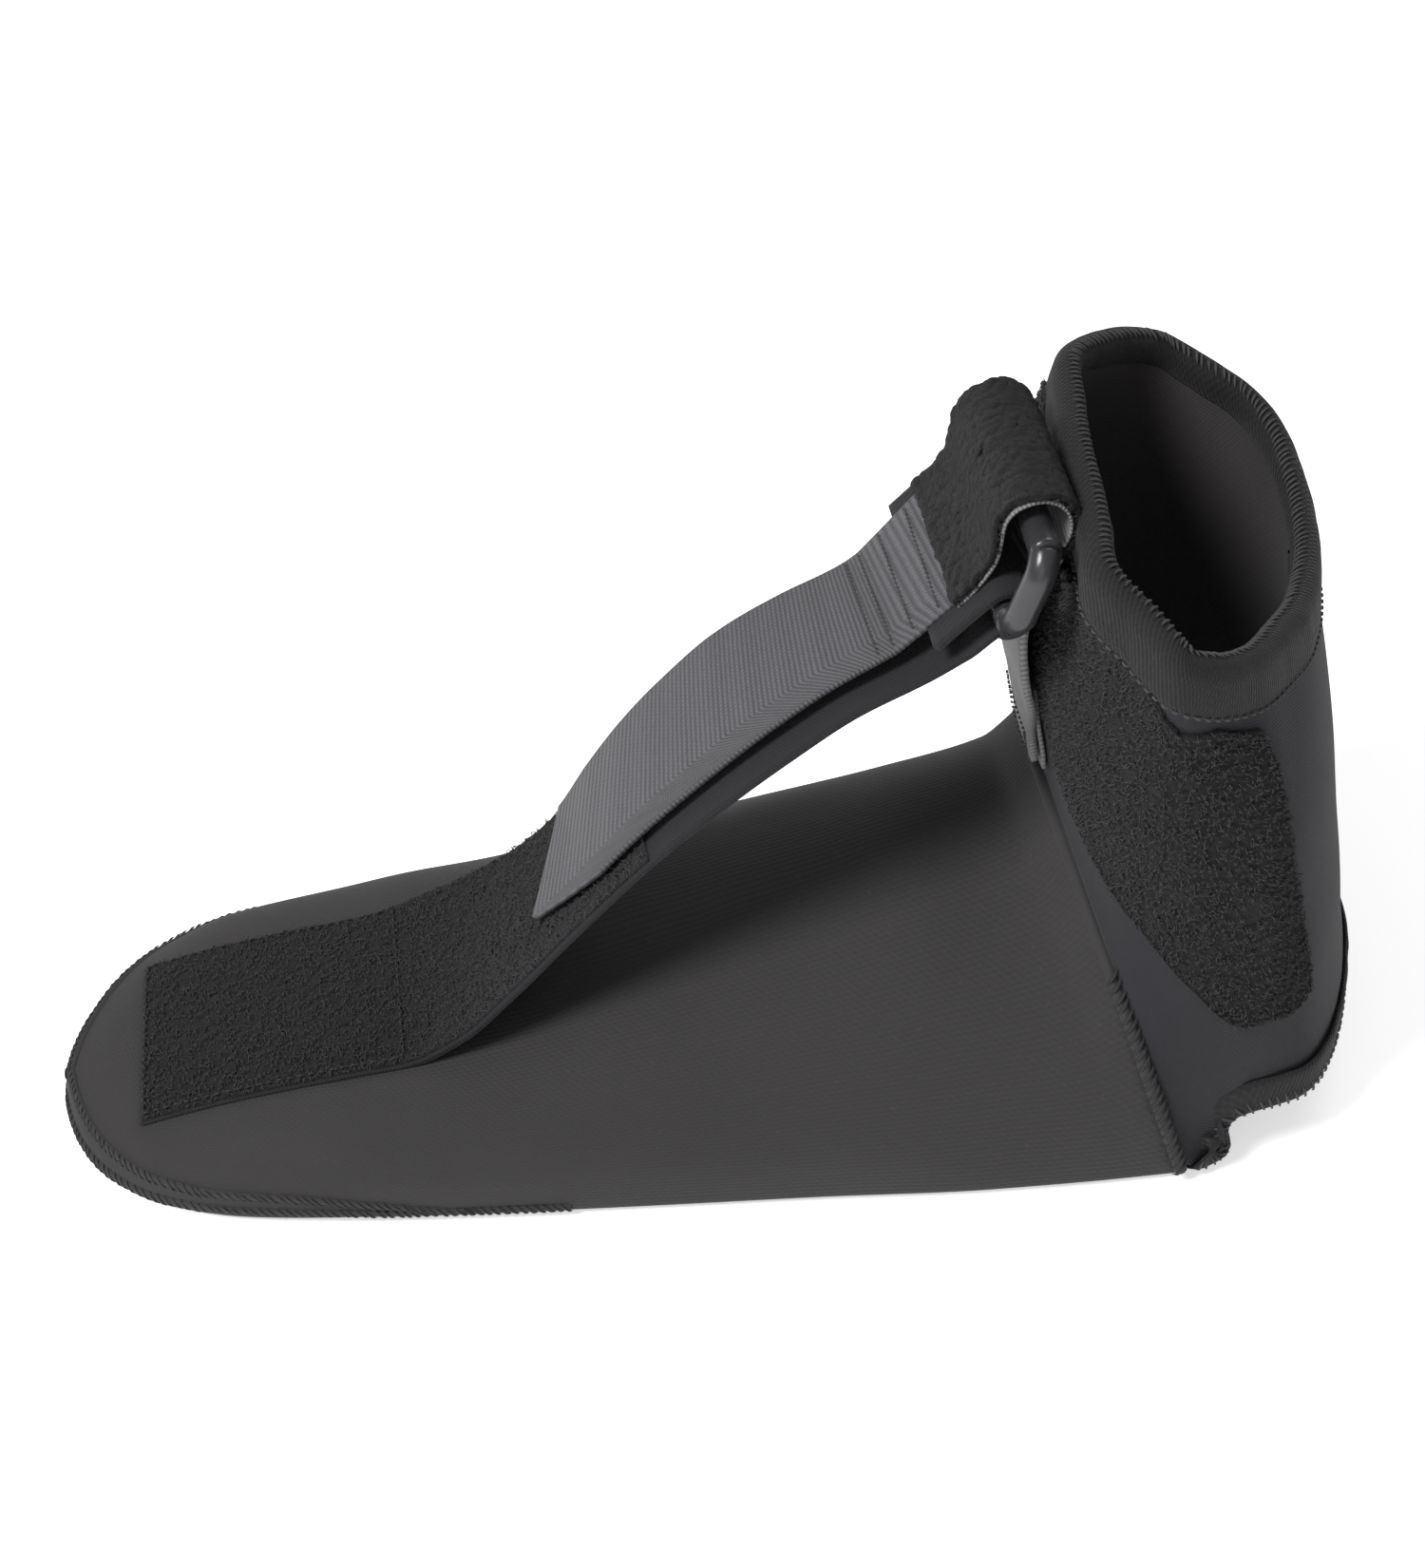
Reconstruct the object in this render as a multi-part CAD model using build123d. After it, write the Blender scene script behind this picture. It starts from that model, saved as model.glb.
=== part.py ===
from build123d import *
import math
import os

os.makedirs("parts", exist_ok=True)

# Soft ankle foot orthosis: a closed-toe foot sleeve sewn to an ankle cuff, a lift strap from the
# cuff front over a plastic ring, and a toe strap from the ring down to the top of the toes.
# X runs from the toe (-) to the heel (+), Y from the near side (-) to the far side (+), Z up.
# The origin lies on the flat underside of the sole, below the instep crease.

# ---- driving dimensions (mm) ----
TOE_X = -221.0  # toe tip
SOLE_REAR_X = 30.0  # rear edge of the sole, at the front of the heel opening
FOOT_HALF_WIDTH = 60.0  # half width of the sleeve at the ankle
CREASE_HEIGHT = 73.0  # height of the instep crease where the cuff starts
CREASE_X = -3.0
ANKLE_SLOPE = 25.0 / 73.0  # the ankle seam runs back as it goes down

CUFF_HEIGHT = 152.0  # rim height at the front of the cuff
CUFF_HALF_WIDTH = 63.0  # half width of the rim
CUFF_DEPTH = 52.0  # rim, front to back
RIM_DROP = 22.0  # the rim is lower at the back than at the front
HEEL_GAP = 15.0  # lower edge of the cuff above the floor

FACE_FABRIC = 3.0  # knit-faced foam laminate
LINING = 1.0
SOLE_FABRIC = 3.0
SEAM = 1.5  # raised height of a sewn seam
BINDING = 1.2  # folded binding tape
BINDING_WIDTH = 8.5
STITCH = 0.35  # raised height of a line of thread
BODY_GAP = 0.35  # clearance between pieces on different moving bodies

TOE_STRAP_WIDTH = 50.0
TOE_STRAP_THICK = 1.8
LIFT_WIDTH = 38.0
LIFT_THICK = 2.2
TAPE_THICK = 1.4
LEG_THICK = 1.6

BAR_RADIUS = 3.0
BAR_LOW = (-19.5, 132.5)  # ring bar held in the end loop of the toe strap
BAR_HIGH = (-14.0, 149.0)  # ring bar inside the turn of the lift strap
LOOP_GAP = 0.3
TURN_RADIUS = 6.0  # free radius of the turn of the lift strap

# ---- foot sleeve: half width, height and squareness of the arch at stations along the foot ----
FOOT_STATIONS = (
    (0.0, 0.20, 0.085, 2.1),
    (0.02, 0.42, 0.125, 2.3),
    (0.09, 0.645, 0.185, 2.8),
    (0.33, 0.79, 0.315, 2.8),
    (0.69, 0.89, 0.580, 2.4),
    (0.90, 0.965, 0.800, 2.2),
    (1.03, 1.0, 0.965, 2.1),
    (1.17, 1.0, 1.06, 2.1),
)


def arch(x, half, height, power, count=8):
    ring = []
    for i in range(count + 1):
        t = math.pi * i / count
        c, s = math.cos(t), math.sin(t)
        y = half * math.copysign(abs(c) ** (2 / power), c)
        z = height * abs(s) ** (2 / power)
        ring.append((x, y, z))
    return Wire([Spline(*ring), Line(ring[-1], ring[0])])


def foot_skin(grow):
    run = -TOE_X + CREASE_X
    wires = []
    for share, half, height, power in FOOT_STATIONS:
        x = TOE_X - grow * (1 - min(share / 0.09, 1.0)) + share * run
        b = FOOT_HALF_WIDTH * half + grow
        h = CREASE_HEIGHT * height + grow
        wires.append(arch(x, b, h, power))
    return Solid.make_loft(wires)


def oval(z, front, back, half, power, grow, count=16):
    mid, reach = (front + back) / 2, (back - front) / 2 + grow
    ring = []
    for i in range(count):
        t = 2 * math.pi * i / count
        c, s = math.cos(t), math.sin(t)
        x = mid + reach * math.copysign(abs(c) ** (2 / power), c)
        y = (half + grow) * math.copysign(abs(s) ** (2 / power), s)
        ring.append((x, y, z))
    return Wire([Spline(*ring, periodic=True)])


def cuff_skin(grow):
    rim_back = CREASE_X + 1 + CUFF_DEPTH
    levels = (
        (0.0, CREASE_X - 12, rim_back + 22, 0.955, 2.5),
        (0.27, CREASE_X - 6, rim_back + 19, 0.94, 2.5),
        (0.52, CREASE_X + 0.2, rim_back + 12, 0.93, 2.5),
        (1.03, CREASE_X + 1, rim_back, 1.0, 2.6),
    )
    wires = []
    for share, front, back, half, power in levels:
        z = CUFF_HEIGHT * share
        wires.append(oval(z, front, back, CUFF_HALF_WIDTH * half, power, grow))
    return Solid.make_loft(wires)


def slab(x0, x1, y0, y1, z0, z1):
    size = (x1 - x0, y1 - y0, z1 - z0)
    mid = ((x0 + x1) / 2, (y0 + y1) / 2, (z0 + z1) / 2)
    return Pos(*mid) * Box(*size)


def side_block(points, y0, y1):
    # closed outline in the X-Z plane, carried from y0 to y1
    face = make_face(Polyline(*[(x, y0, z) for x, z in points], close=True))
    return extrude(face, amount=y1 - y0, dir=(0, 1, 0))


def seam_x(z, shift=0.0):
    return CREASE_X + ANKLE_SLOPE * (CREASE_HEIGHT - z) + shift


def ahead_of_seam(shift):
    # everything on the toe side of the ankle seam plane
    top, low = 260.0, -40.0
    pts = ((-400, low), (seam_x(low, shift), low), (seam_x(top, shift), top), (-400, top))
    return side_block(pts, -120, 120)


def behind_seam(shift):
    top, low = 260.0, -40.0
    pts = ((200, low), (seam_x(low, shift), low), (seam_x(top, shift), top), (200, top))
    return side_block(pts, -120, 120)


def one(shape):
    # largest closed solid of a result
    return max(shape.solids(), key=lambda s: s.volume)


def rim_z(x, rise=0.0):
    return CUFF_HEIGHT + rise - RIM_DROP * (x - CREASE_X - 1) / CUFF_DEPTH


def below_rim(rise=0.0, depth=260.0):
    x0, x1 = -60.0, 120.0
    pts = (
        (x0, rim_z(x0, rise)),
        (x1, rim_z(x1, rise)),
        (x1, rim_z(x1, rise) - depth),
        (x0, rim_z(x0, rise) - depth),
    )
    return side_block(pts, -120, 120)


def ribbon(points, thick, width, y_mid=0.0):
    # flat strap of constant thickness along a smooth line in the X-Z plane
    line = Spline(*[(x, 0, z) for x, z in points])
    count = 48
    left, right = [], []
    for i in range(count + 1):
        p, t = line @ (i / count), line % (i / count)
        nx, nz = -t.Z, t.X
        left.append((p.X + nx * thick / 2, p.Z + nz * thick / 2))
        right.append((p.X - nx * thick / 2, p.Z - nz * thick / 2))
    y0, y1 = y_mid - width / 2, y_mid + width / 2
    return strip_between(left, right, y0, y1)


def strip_between(left, right, y0, y1):
    a = Spline(*[(x, y0, z) for x, z in left])
    b = Spline(*[(x, y0, z) for x, z in right])
    ends = (Line(a @ 1, b @ 1), Line(b @ 0, a @ 0))
    face = make_face([a, ends[0], b, ends[1]])
    return extrude(face, amount=y1 - y0, dir=(0, 1, 0))


def disc(center, radius, width):
    x, z = center
    return Pos(x, 0, z) * Rot(90, 0, 0) * Cylinder(radius, width)


def save(shape, name):
    shape.label = name
    export_step(shape, f"parts/{name}.step")


# ---- foot sleeve ----
foot_out = foot_skin(0)
foot_mid = foot_skin(-FACE_FABRIC)
foot_in = foot_skin(-FACE_FABRIC - LINING)
foot_side = ahead_of_seam(-BODY_GAP)
above_sole = slab(-400, 200, -120, 120, SOLE_FABRIC, 200)
sole_span = slab(-400, SOLE_REAR_X, -120, 120, 0, SOLE_FABRIC)

foot_upper = one((foot_out - foot_mid) & above_sole & foot_side)
foot_lining = one((foot_mid - foot_in) & above_sole & foot_side)
foot_sole = one(foot_out & sole_span)
lining_span = slab(-400, SOLE_REAR_X, -120, 120, SOLE_FABRIC, SOLE_FABRIC + LINING)
sole_lining = one(foot_in & lining_span)
save(foot_upper, "foot_upper")
save(foot_lining, "foot_lining")
save(foot_sole, "foot_sole")
save(sole_lining, "sole_lining")

binding_x = SOLE_REAR_X + BINDING
rear_edge = slab(
    SOLE_REAR_X,
    binding_x,
    -FOOT_HALF_WIDTH + 1,
    FOOT_HALF_WIDTH - 1,
    0,
    SOLE_FABRIC + LINING + BINDING,
)
rear_fold = slab(
    binding_x - BINDING_WIDTH,
    binding_x,
    -FOOT_HALF_WIDTH + 6,
    FOOT_HALF_WIDTH - 6,
    SOLE_FABRIC + LINING,
    SOLE_FABRIC + LINING + BINDING,
)
save(one(rear_edge + rear_fold), "sole_binding")

foot_seam = foot_skin(SEAM)
TOE_SEAM_END = -147.0
toe_zone = slab(-400, TOE_SEAM_END, -120, 120, 0.6, 5.2)
save(one((foot_seam - foot_out) & toe_zone), "toe_seam")

seam_zone = ahead_of_seam(-BODY_GAP) - ahead_of_seam(-BODY_GAP - 3.2)
seam_zone = seam_zone & slab(-400, 200, -120, 120, 1.2, 200)
ankle_seam = (foot_seam - foot_out) & seam_zone
save(one(ankle_seam & slab(-100, 100, -120, -0.1, -10, 200)), "ankle_seam_near")
save(one(ankle_seam & slab(-100, 100, 0.1, 120, -10, 200)), "ankle_seam_far")

# ---- toe strap: sewn on the toes, then lifted to the ring and looped round its lower bar ----
SEWN_FRONT = TOE_X + 17.0
strap_stretch = (TOE_X - BAR_LOW[0]) / (-221.0 - BAR_LOW[0])


def along_strap(x):
    # place on the run from the lower ring bar to the toe, which follows the length of the foot
    return BAR_LOW[0] + (x - BAR_LOW[0]) * strap_stretch


SEWN_REAR = along_strap(-150.0)
sewn_zone = slab(
    SEWN_FRONT, SEWN_REAR, -TOE_STRAP_WIDTH / 2, TOE_STRAP_WIDTH / 2, 6, 60
)
foot_strap = foot_skin(TOE_STRAP_THICK)
sewn_run = one((foot_strap - foot_out) & sewn_zone)
loop_mid = BAR_RADIUS + LOOP_GAP + TOE_STRAP_THICK / 2
TOE_STRAP_RUN = (
    (-154.0, 23.9),
    (-145.0, 26.2),
    (-137.0, 29.6),
    (-121.0, 40.5),
    (-110.0, 50.5),
    (-100.0, 60.5),
    (-90.0, 71.0),
    (-78.0, 83.0),
    (-62.6, 96.5),
    (-48.0, 107.5),
    (-34.5, 117.5),
    (-24.8, 126.0),
)
TOE_STRAP_LINE = [(along_strap(x), z) for x, z in TOE_STRAP_RUN]
TOE_STRAP_LINE.append((BAR_LOW[0] + loop_mid * 0.45, BAR_LOW[1] - loop_mid * 0.893))
lifted_run = ribbon(TOE_STRAP_LINE, TOE_STRAP_THICK, TOE_STRAP_WIDTH)
end_loop = disc(BAR_LOW, loop_mid + TOE_STRAP_THICK / 2, TOE_STRAP_WIDTH)
bar_room = disc(BAR_LOW, loop_mid - TOE_STRAP_THICK / 2, TOE_STRAP_WIDTH + 2)
toe_strap = one((sewn_run + lifted_run + end_loop) - bar_room - foot_out)
save(toe_strap, "toe_strap")

foot_thread = foot_skin(TOE_STRAP_THICK + STITCH)
thread_out = slab(SEWN_FRONT + 2.5, SEWN_REAR - 6, -22.5, 22.5, 6, 60)
thread_in = slab(SEWN_FRONT + 4, SEWN_REAR - 7.5, -21, 21, 6, 60)
threads = (foot_thread & (thread_out - thread_in)) - foot_strap
save(one(threads - lifted_run), "toe_strap_stitching")

# ---- ring: rounded rectangle of round bar ----
ring_span = TOE_STRAP_WIDTH / 2 + 1.6 + BAR_RADIUS
ring_rise = math.dist(BAR_LOW, BAR_HIGH)
ring_tilt = math.degrees(math.atan2(BAR_HIGH[0] - BAR_LOW[0], BAR_HIGH[1] - BAR_LOW[1]))
corner = 4.5
ring_plane = Plane(
    origin=(BAR_LOW[0], 0, BAR_LOW[1]),
    x_dir=(0, 1, 0),
    z_dir=(math.cos(math.radians(ring_tilt)), 0, -math.sin(math.radians(ring_tilt))),
)
path = ring_plane * Pos(0, ring_rise / 2) * RectangleRounded(2 * ring_span, ring_rise, corner)
ring_line = path.wire()
start = ring_line @ 0
section = Plane(origin=start, z_dir=ring_line % 0) * Circle(BAR_RADIUS)
strap_ring = sweep(section, path=ring_line)
save(one(strap_ring), "strap_ring")

# ---- cuff ----
cuff_out = cuff_skin(0)
cuff_mid = cuff_skin(-FACE_FABRIC)
cuff_in = cuff_skin(-FACE_FABRIC - LINING)
cuff_zone = behind_seam(BODY_GAP) & below_rim() & slab(-60, 120, -120, 120, HEEL_GAP, 260)
cuff_wall = (cuff_out - cuff_mid) & cuff_zone
save(one(cuff_wall & slab(-60, 120, -120, 0, 0, 260)), "cuff_near_panel")
save(one(cuff_wall & slab(-60, 120, 0, 120, 0, 260)), "cuff_far_panel")
save(one((cuff_mid - cuff_in) & cuff_zone), "cuff_lining")

cuff_cover = cuff_skin(BINDING)
cuff_under = cuff_skin(-FACE_FABRIC - LINING - BINDING)


def hem(tape_zone, wall_zone):
    # tape folded over an edge of the cuff: both faces and the strip across the edge
    tape = (cuff_cover & tape_zone) - cuff_under
    wall = (cuff_out & wall_zone) - cuff_in
    return one(tape - wall)


rim_tape = below_rim(BINDING, BINDING_WIDTH + BINDING)
rim_wall = below_rim(0, BINDING_WIDTH + 4)
save(hem(rim_tape, rim_wall), "top_binding")
heel_high = HEEL_GAP + BINDING_WIDTH
heel_side = behind_seam(BODY_GAP + 1)
heel_tape = slab(-60, 120, -120, 120, HEEL_GAP - BINDING, heel_high) & heel_side
heel_wall = slab(-60, 120, -120, 120, HEEL_GAP, heel_high + 4)
save(hem(heel_tape, heel_wall), "heel_binding")

cord = cuff_skin(SEAM) - cuff_out
cord_zone = below_rim(-BINDING_WIDTH - 0.3) & slab(20, 120, -1.6, 1.6, heel_high + 0.3, 260)
save(one(cord & cord_zone), "cuff_back_seam")

# ---- loop patches on both sides of the cuff, with their line of thread ----
PATCH_THICK = 1.8
PATCH_OUTLINE = (
    (1.5, 134.0),
    (14.0, 121.0),
    (24.0, 112.0),
    (34.0, 110.0),
    (40.0, 70.0),
    (42.0, 52.0),
    (36.0, 41.0),
    (27.0, 43.0),
    (16.0, 54.0),
    (9.0, 70.0),
    (3.0, 92.0),
    (0.5, 112.0),
)


def patch_points(inset):
    cx = sum(x for x, z in PATCH_OUTLINE) / len(PATCH_OUTLINE)
    cz = sum(z for x, z in PATCH_OUTLINE) / len(PATCH_OUTLINE)
    points = []
    for x, z in PATCH_OUTLINE:
        reach = math.dist((x, z), (cx, cz))
        keep = (reach - inset) / reach
        points.append((cx + (x - cx) * keep, cz + (z - cz) * keep))
    return points


patch_skin = cuff_skin(PATCH_THICK)
patch_thread = cuff_skin(PATCH_THICK + STITCH)
for name, y0, y1 in (("near", -120, -22), ("far", 22, 120)):
    block = side_block(patch_points(0), y0, y1)
    save(one((patch_skin - cuff_out) & block), f"{name}_loop_patch")
    ring_block = side_block(patch_points(2), y0 - 1, y1 + 1) - side_block(patch_points(4), y0 - 2, y1 + 2)
    ring_block = ring_block & slab(-60, 120, y0, y1, 0, 260)
    save(one((patch_thread - patch_skin) & ring_block), f"{name}_patch_stitching")

# ---- anchor strip on the cuff front, and the rear leg of the lift strap over it ----
ANCHOR_THICK = 1.2
ANCHOR_LOW = CREASE_HEIGHT + 3.0
ANCHOR_HIGH = CREASE_HEIGHT + 25.0
SEWN_LOW = ANCHOR_LOW + 1.5
SEWN_HIGH = ANCHOR_HIGH - 3.0
half_lift = LIFT_WIDTH / 2
anchor_skin = cuff_skin(ANCHOR_THICK)
leg_skin = cuff_skin(ANCHOR_THICK + LEG_THICK)
anchor_zone = slab(-60, 15, -half_lift, half_lift, ANCHOR_LOW, ANCHOR_HIGH)
save(one((anchor_skin & anchor_zone) - cuff_out), "strap_anchor")
sewn_zone = slab(-60, 15, -half_lift + 0.5, half_lift - 0.5, SEWN_LOW, SEWN_HIGH)
sewn_foot = one((leg_skin & sewn_zone) - anchor_skin)
leg_x = CREASE_X - ANCHOR_THICK - LEG_THICK / 2
LEG_LINE = (
    (leg_x - 0.3, SEWN_HIGH - 5),
    (leg_x - 1.6, SEWN_HIGH + 2),
    (leg_x - 5.0, SEWN_HIGH + 14),
    (leg_x - 7.6, SEWN_HIGH + 26),
    (leg_x - 7.6, SEWN_HIGH + 36),
    (BAR_HIGH[0] + 5.6, BAR_HIGH[1] - 8.5),
)
free_leg = ribbon(LEG_LINE, LEG_THICK, LIFT_WIDTH - 1)
lift_strap = one(sewn_foot + (free_leg - anchor_skin))
save(lift_strap, "lift_strap")
leg_thread = cuff_skin(ANCHOR_THICK + LEG_THICK + STITCH)
box_out = slab(-60, 15, -half_lift + 3, half_lift - 3, SEWN_LOW + 1.5, SEWN_HIGH - 6)
box_in = slab(-60, 15, -half_lift + 4.2, half_lift - 4.2, SEWN_LOW + 2.7, SEWN_HIGH - 7.2)
leg_stitches = (leg_thread & (box_out - box_in)) - leg_skin - free_leg
save(one(leg_stitches), "anchor_stitching")

# ---- strap tail: turn over the upper bar, then the hook tape lying along the toe strap ----
TAPE_RUN = (
    (-112.5, 51.6),
    (-106.0, 57.6),
    (-100.0, 63.9),
    (-90.0, 75.4),
    (-78.0, 88.3),
    (-62.6, 103.0),
    (-48.0, 114.2),
    (-34.9, 125.4),
)
TURN_START = (-28.3, 132.8)
TAPE_LINE = [(along_strap(x), z) for x, z in TAPE_RUN]
TAPE_LINE.append(TURN_START)
turn_mid = TURN_RADIUS + LIFT_THICK / 2
turn_points = [TURN_START, (-24.5, 137.8), (-22.1, 142.8)]
for angle in range(175, -31, -18):
    a = math.radians(angle)
    turn_points.append(
        (BAR_HIGH[0] + turn_mid * math.cos(a), BAR_HIGH[1] + turn_mid * math.sin(a))
    )
hook_tape = ribbon(TAPE_LINE, TAPE_THICK, LIFT_WIDTH)
TIP_CUT = ((-125, -20), (-99, -20), (-113, -12), (-104, 20), (-125, 20))
tip_cut = Polyline([(along_strap(x), y, 0) for x, y in TIP_CUT], close=True)
tip_block = extrude(make_face(tip_cut), amount=200, dir=(0, 0, 1))
hook_tape = one(hook_tape - tip_block)
save(hook_tape, "hook_tape")
turn = ribbon(turn_points, LIFT_THICK, LIFT_WIDTH)
turn = one(turn - disc(BAR_HIGH, TURN_RADIUS, LIFT_WIDTH + 2) - hook_tape)
save(turn, "lift_strap_turn")

rows = []
tape_top = ribbon(TAPE_LINE, TAPE_THICK + 2 * STITCH, LIFT_WIDTH - 4)
for k in range(4):
    x = -30.5 - 3.2 * k
    rows.append(tape_top & slab(x - 0.5, x + 0.5, -30, 30, 100, 160))
lower_half = ribbon([(x + 0.9, z - 0.9) for x, z in TAPE_LINE], TAPE_THICK + 1.8, LIFT_WIDTH + 2)
row_solids = [one(row - hook_tape - turn - lower_half) for row in rows]
save(Compound(row_solids), "tape_stitching")
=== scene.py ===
import bmesh
import bpy
import math
import random
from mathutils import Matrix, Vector, noise


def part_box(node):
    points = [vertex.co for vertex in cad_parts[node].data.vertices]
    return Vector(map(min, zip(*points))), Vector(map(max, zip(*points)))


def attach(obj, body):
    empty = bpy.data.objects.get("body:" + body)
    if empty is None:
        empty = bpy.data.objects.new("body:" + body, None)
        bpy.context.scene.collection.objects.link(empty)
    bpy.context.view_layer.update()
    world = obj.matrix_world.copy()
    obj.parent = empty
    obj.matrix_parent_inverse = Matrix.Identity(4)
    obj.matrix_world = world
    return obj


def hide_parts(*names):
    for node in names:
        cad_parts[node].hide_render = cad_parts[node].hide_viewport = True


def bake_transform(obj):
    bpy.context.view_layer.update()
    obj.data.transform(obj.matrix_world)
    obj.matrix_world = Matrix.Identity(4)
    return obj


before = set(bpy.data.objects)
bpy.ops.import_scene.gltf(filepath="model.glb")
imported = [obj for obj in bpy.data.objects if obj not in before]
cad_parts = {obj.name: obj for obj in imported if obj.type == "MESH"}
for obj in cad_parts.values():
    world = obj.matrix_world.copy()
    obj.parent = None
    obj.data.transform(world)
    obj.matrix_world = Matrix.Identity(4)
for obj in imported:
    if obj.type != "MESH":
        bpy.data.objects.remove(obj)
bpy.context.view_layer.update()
mm = 0.001  # the forms are worked out in millimetres
print("frame loaded", len(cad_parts), "nodes")

# small tools

def track(rows, x):  # smooth row of values at x, from rows that start with their own x
    if x <= rows[0][0]:
        return list(rows[0][1:])
    if x >= rows[-1][0]:
        return list(rows[-1][1:])
    i = max(k for k in range(len(rows) - 1) if rows[k][0] <= x)
    a, b = rows[i], rows[i + 1]
    before, after = rows[max(i - 1, 0)], rows[min(i + 2, len(rows) - 1)]
    span = b[0] - a[0]
    t = (x - a[0]) / span
    out = []
    for k in range(1, len(a)):
        here = (b[k] - a[k]) / span
        left = (a[k] - before[k]) / (a[0] - before[0]) if before is not a else here
        right = (after[k] - b[k]) / (after[0] - b[0]) if after is not b else here
        m0 = 0.0 if left * here <= 0 else 2 * left * here / (left + here)
        m1 = 0.0 if right * here <= 0 else 2 * right * here / (right + here)
        h1 = (1 + 2 * t) * (1 - t) ** 2
        h2 = t * (1 - t) ** 2
        h3 = t * t * (3 - 2 * t)
        h4 = t * t * (t - 1)
        out.append(h1 * a[k] + h2 * span * m0 + h3 * b[k] + h4 * span * m1)
    return out


class Table:  # the same rows sampled finely once, then read by straight steps
    def __init__(self, rows, step):
        self.low = rows[0][0]
        self.step = step
        count = int((rows[-1][0] - self.low) / step) + 2
        self.values = [track(rows, self.low + k * step) for k in range(count)]

    def __call__(self, x):
        f = (x - self.low) / self.step
        if f <= 0:
            return self.values[0]
        i = int(f)
        if i >= len(self.values) - 1:
            return self.values[-1]
        f -= i
        return [a + (b - a) * f for a, b in zip(self.values[i], self.values[i + 1])]


def smooth(t):
    t = min(max(t, 0.0), 1.0)
    return t * t * (3 - 2 * t)


def unwrap(angle, near):  # the same direction as an angle within half a turn of another
    while angle - near > math.pi:
        angle -= 2 * math.pi
    while angle - near < -math.pi:
        angle += 2 * math.pi
    return angle


def bow(points, t, closed=False):  # point on a Catmull-Rom line through the points, t from 0 to 1
    count = len(points)
    runs = count if closed else count - 1
    f = (t % 1.0 if closed else min(max(t, 0.0), 1.0)) * runs
    i = min(int(f), runs - 1)
    f -= i

    def pick(k):
        return Vector(points[k % count] if closed else points[min(max(k, 0), count - 1)])

    a, b, c, d = pick(i - 1), pick(i), pick(i + 1), pick(i + 2)
    return 0.5 * (2 * b + (c - a) * f + (2 * a - 5 * b + 4 * c - d) * f * f + (3 * b - a - 3 * c + d) * f ** 3)


def evenPath(points, count, closed=False, dense=12):  # the same line as evenly spaced points
    runs = (len(points) if closed else len(points) - 1) * dense
    fine = [bow(points, k / runs, closed) for k in range(runs + (0 if closed else 1))]
    if closed:
        fine.append(fine[0].copy())
    reach = [0.0]
    for p, q in zip(fine, fine[1:]):
        reach.append(reach[-1] + (q - p).length)
    out, k = [], 0
    steps = count if closed else count - 1
    for n in range(count):
        want = reach[-1] * n / steps
        while k < len(reach) - 2 and reach[k + 1] < want:
            k += 1
        gap = max(reach[k + 1] - reach[k], 1e-9)
        out.append(fine[k].lerp(fine[k + 1], min(max((want - reach[k]) / gap, 0.0), 1.0)))
    return out


def pathLength(points):
    return sum((q - p).length for p, q in zip(points, points[1:]))


def finishMesh(bm, name):
    mesh = bpy.data.meshes.new(name)
    bm.to_mesh(mesh)
    bm.free()
    obj = bpy.data.objects.new(name, mesh)
    bpy.context.scene.collection.objects.link(obj)
    mesh.polygons.foreach_set("use_smooth", [True] * len(mesh.polygons))
    return obj


def tuft(p, size):
    return 0.6 * noise.noise(p / size) + 0.4 * noise.noise(p / (size * 0.45) + Vector((4.1, 9.3, 2.2)))


def clothGrid(name, cols, rows, place, span, closed=False, inward=None, nap=0.0, napSize=1.6):
    # a woven grid laid on a form: place gives each point in mm, span the UV size in metres
    bm = bmesh.new()
    uv = bm.loops.layers.uv.new("UVMap")
    bmesh.ops.create_grid(bm, x_segments=cols, y_segments=rows, size=0.5)
    at = {}
    for v in bm.verts:
        at[v] = (v.co.x + 0.5, v.co.y + 0.5)
    for f in bm.faces:
        for loop in f.loops:
            u, w = at[loop.vert]
            loop[uv].uv = (u * span[0], w * span[1])
    for v, (u, w) in at.items():
        v.co = place(u, w) * mm
    if closed:
        bmesh.ops.remove_doubles(bm, verts=bm.verts, dist=1e-6)
    bm.normal_update()
    if inward is not None:  # turn the faces away from a point or line inside
        total = 0.0
        for f in bm.faces:
            center = f.calc_center_median()
            total += f.normal.dot(center - inward(center)) * f.calc_area()
        if total < 0:
            bmesh.ops.reverse_faces(bm, faces=bm.faces)
    if nap:  # a tufted surface
        bm.normal_update()
        moves = [(v, v.normal * nap * mm * tuft(v.co / mm, napSize)) for v in bm.verts]
        for v, move in moves:
            v.co += move
    return finishMesh(bm, name)


def thicken(obj, thick, offset=-1.0):
    wall = obj.modifiers.new("wall", "SOLIDIFY")
    wall.thickness = thick * mm
    wall.offset = offset
    wall.use_even_offset = False
    return obj


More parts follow.
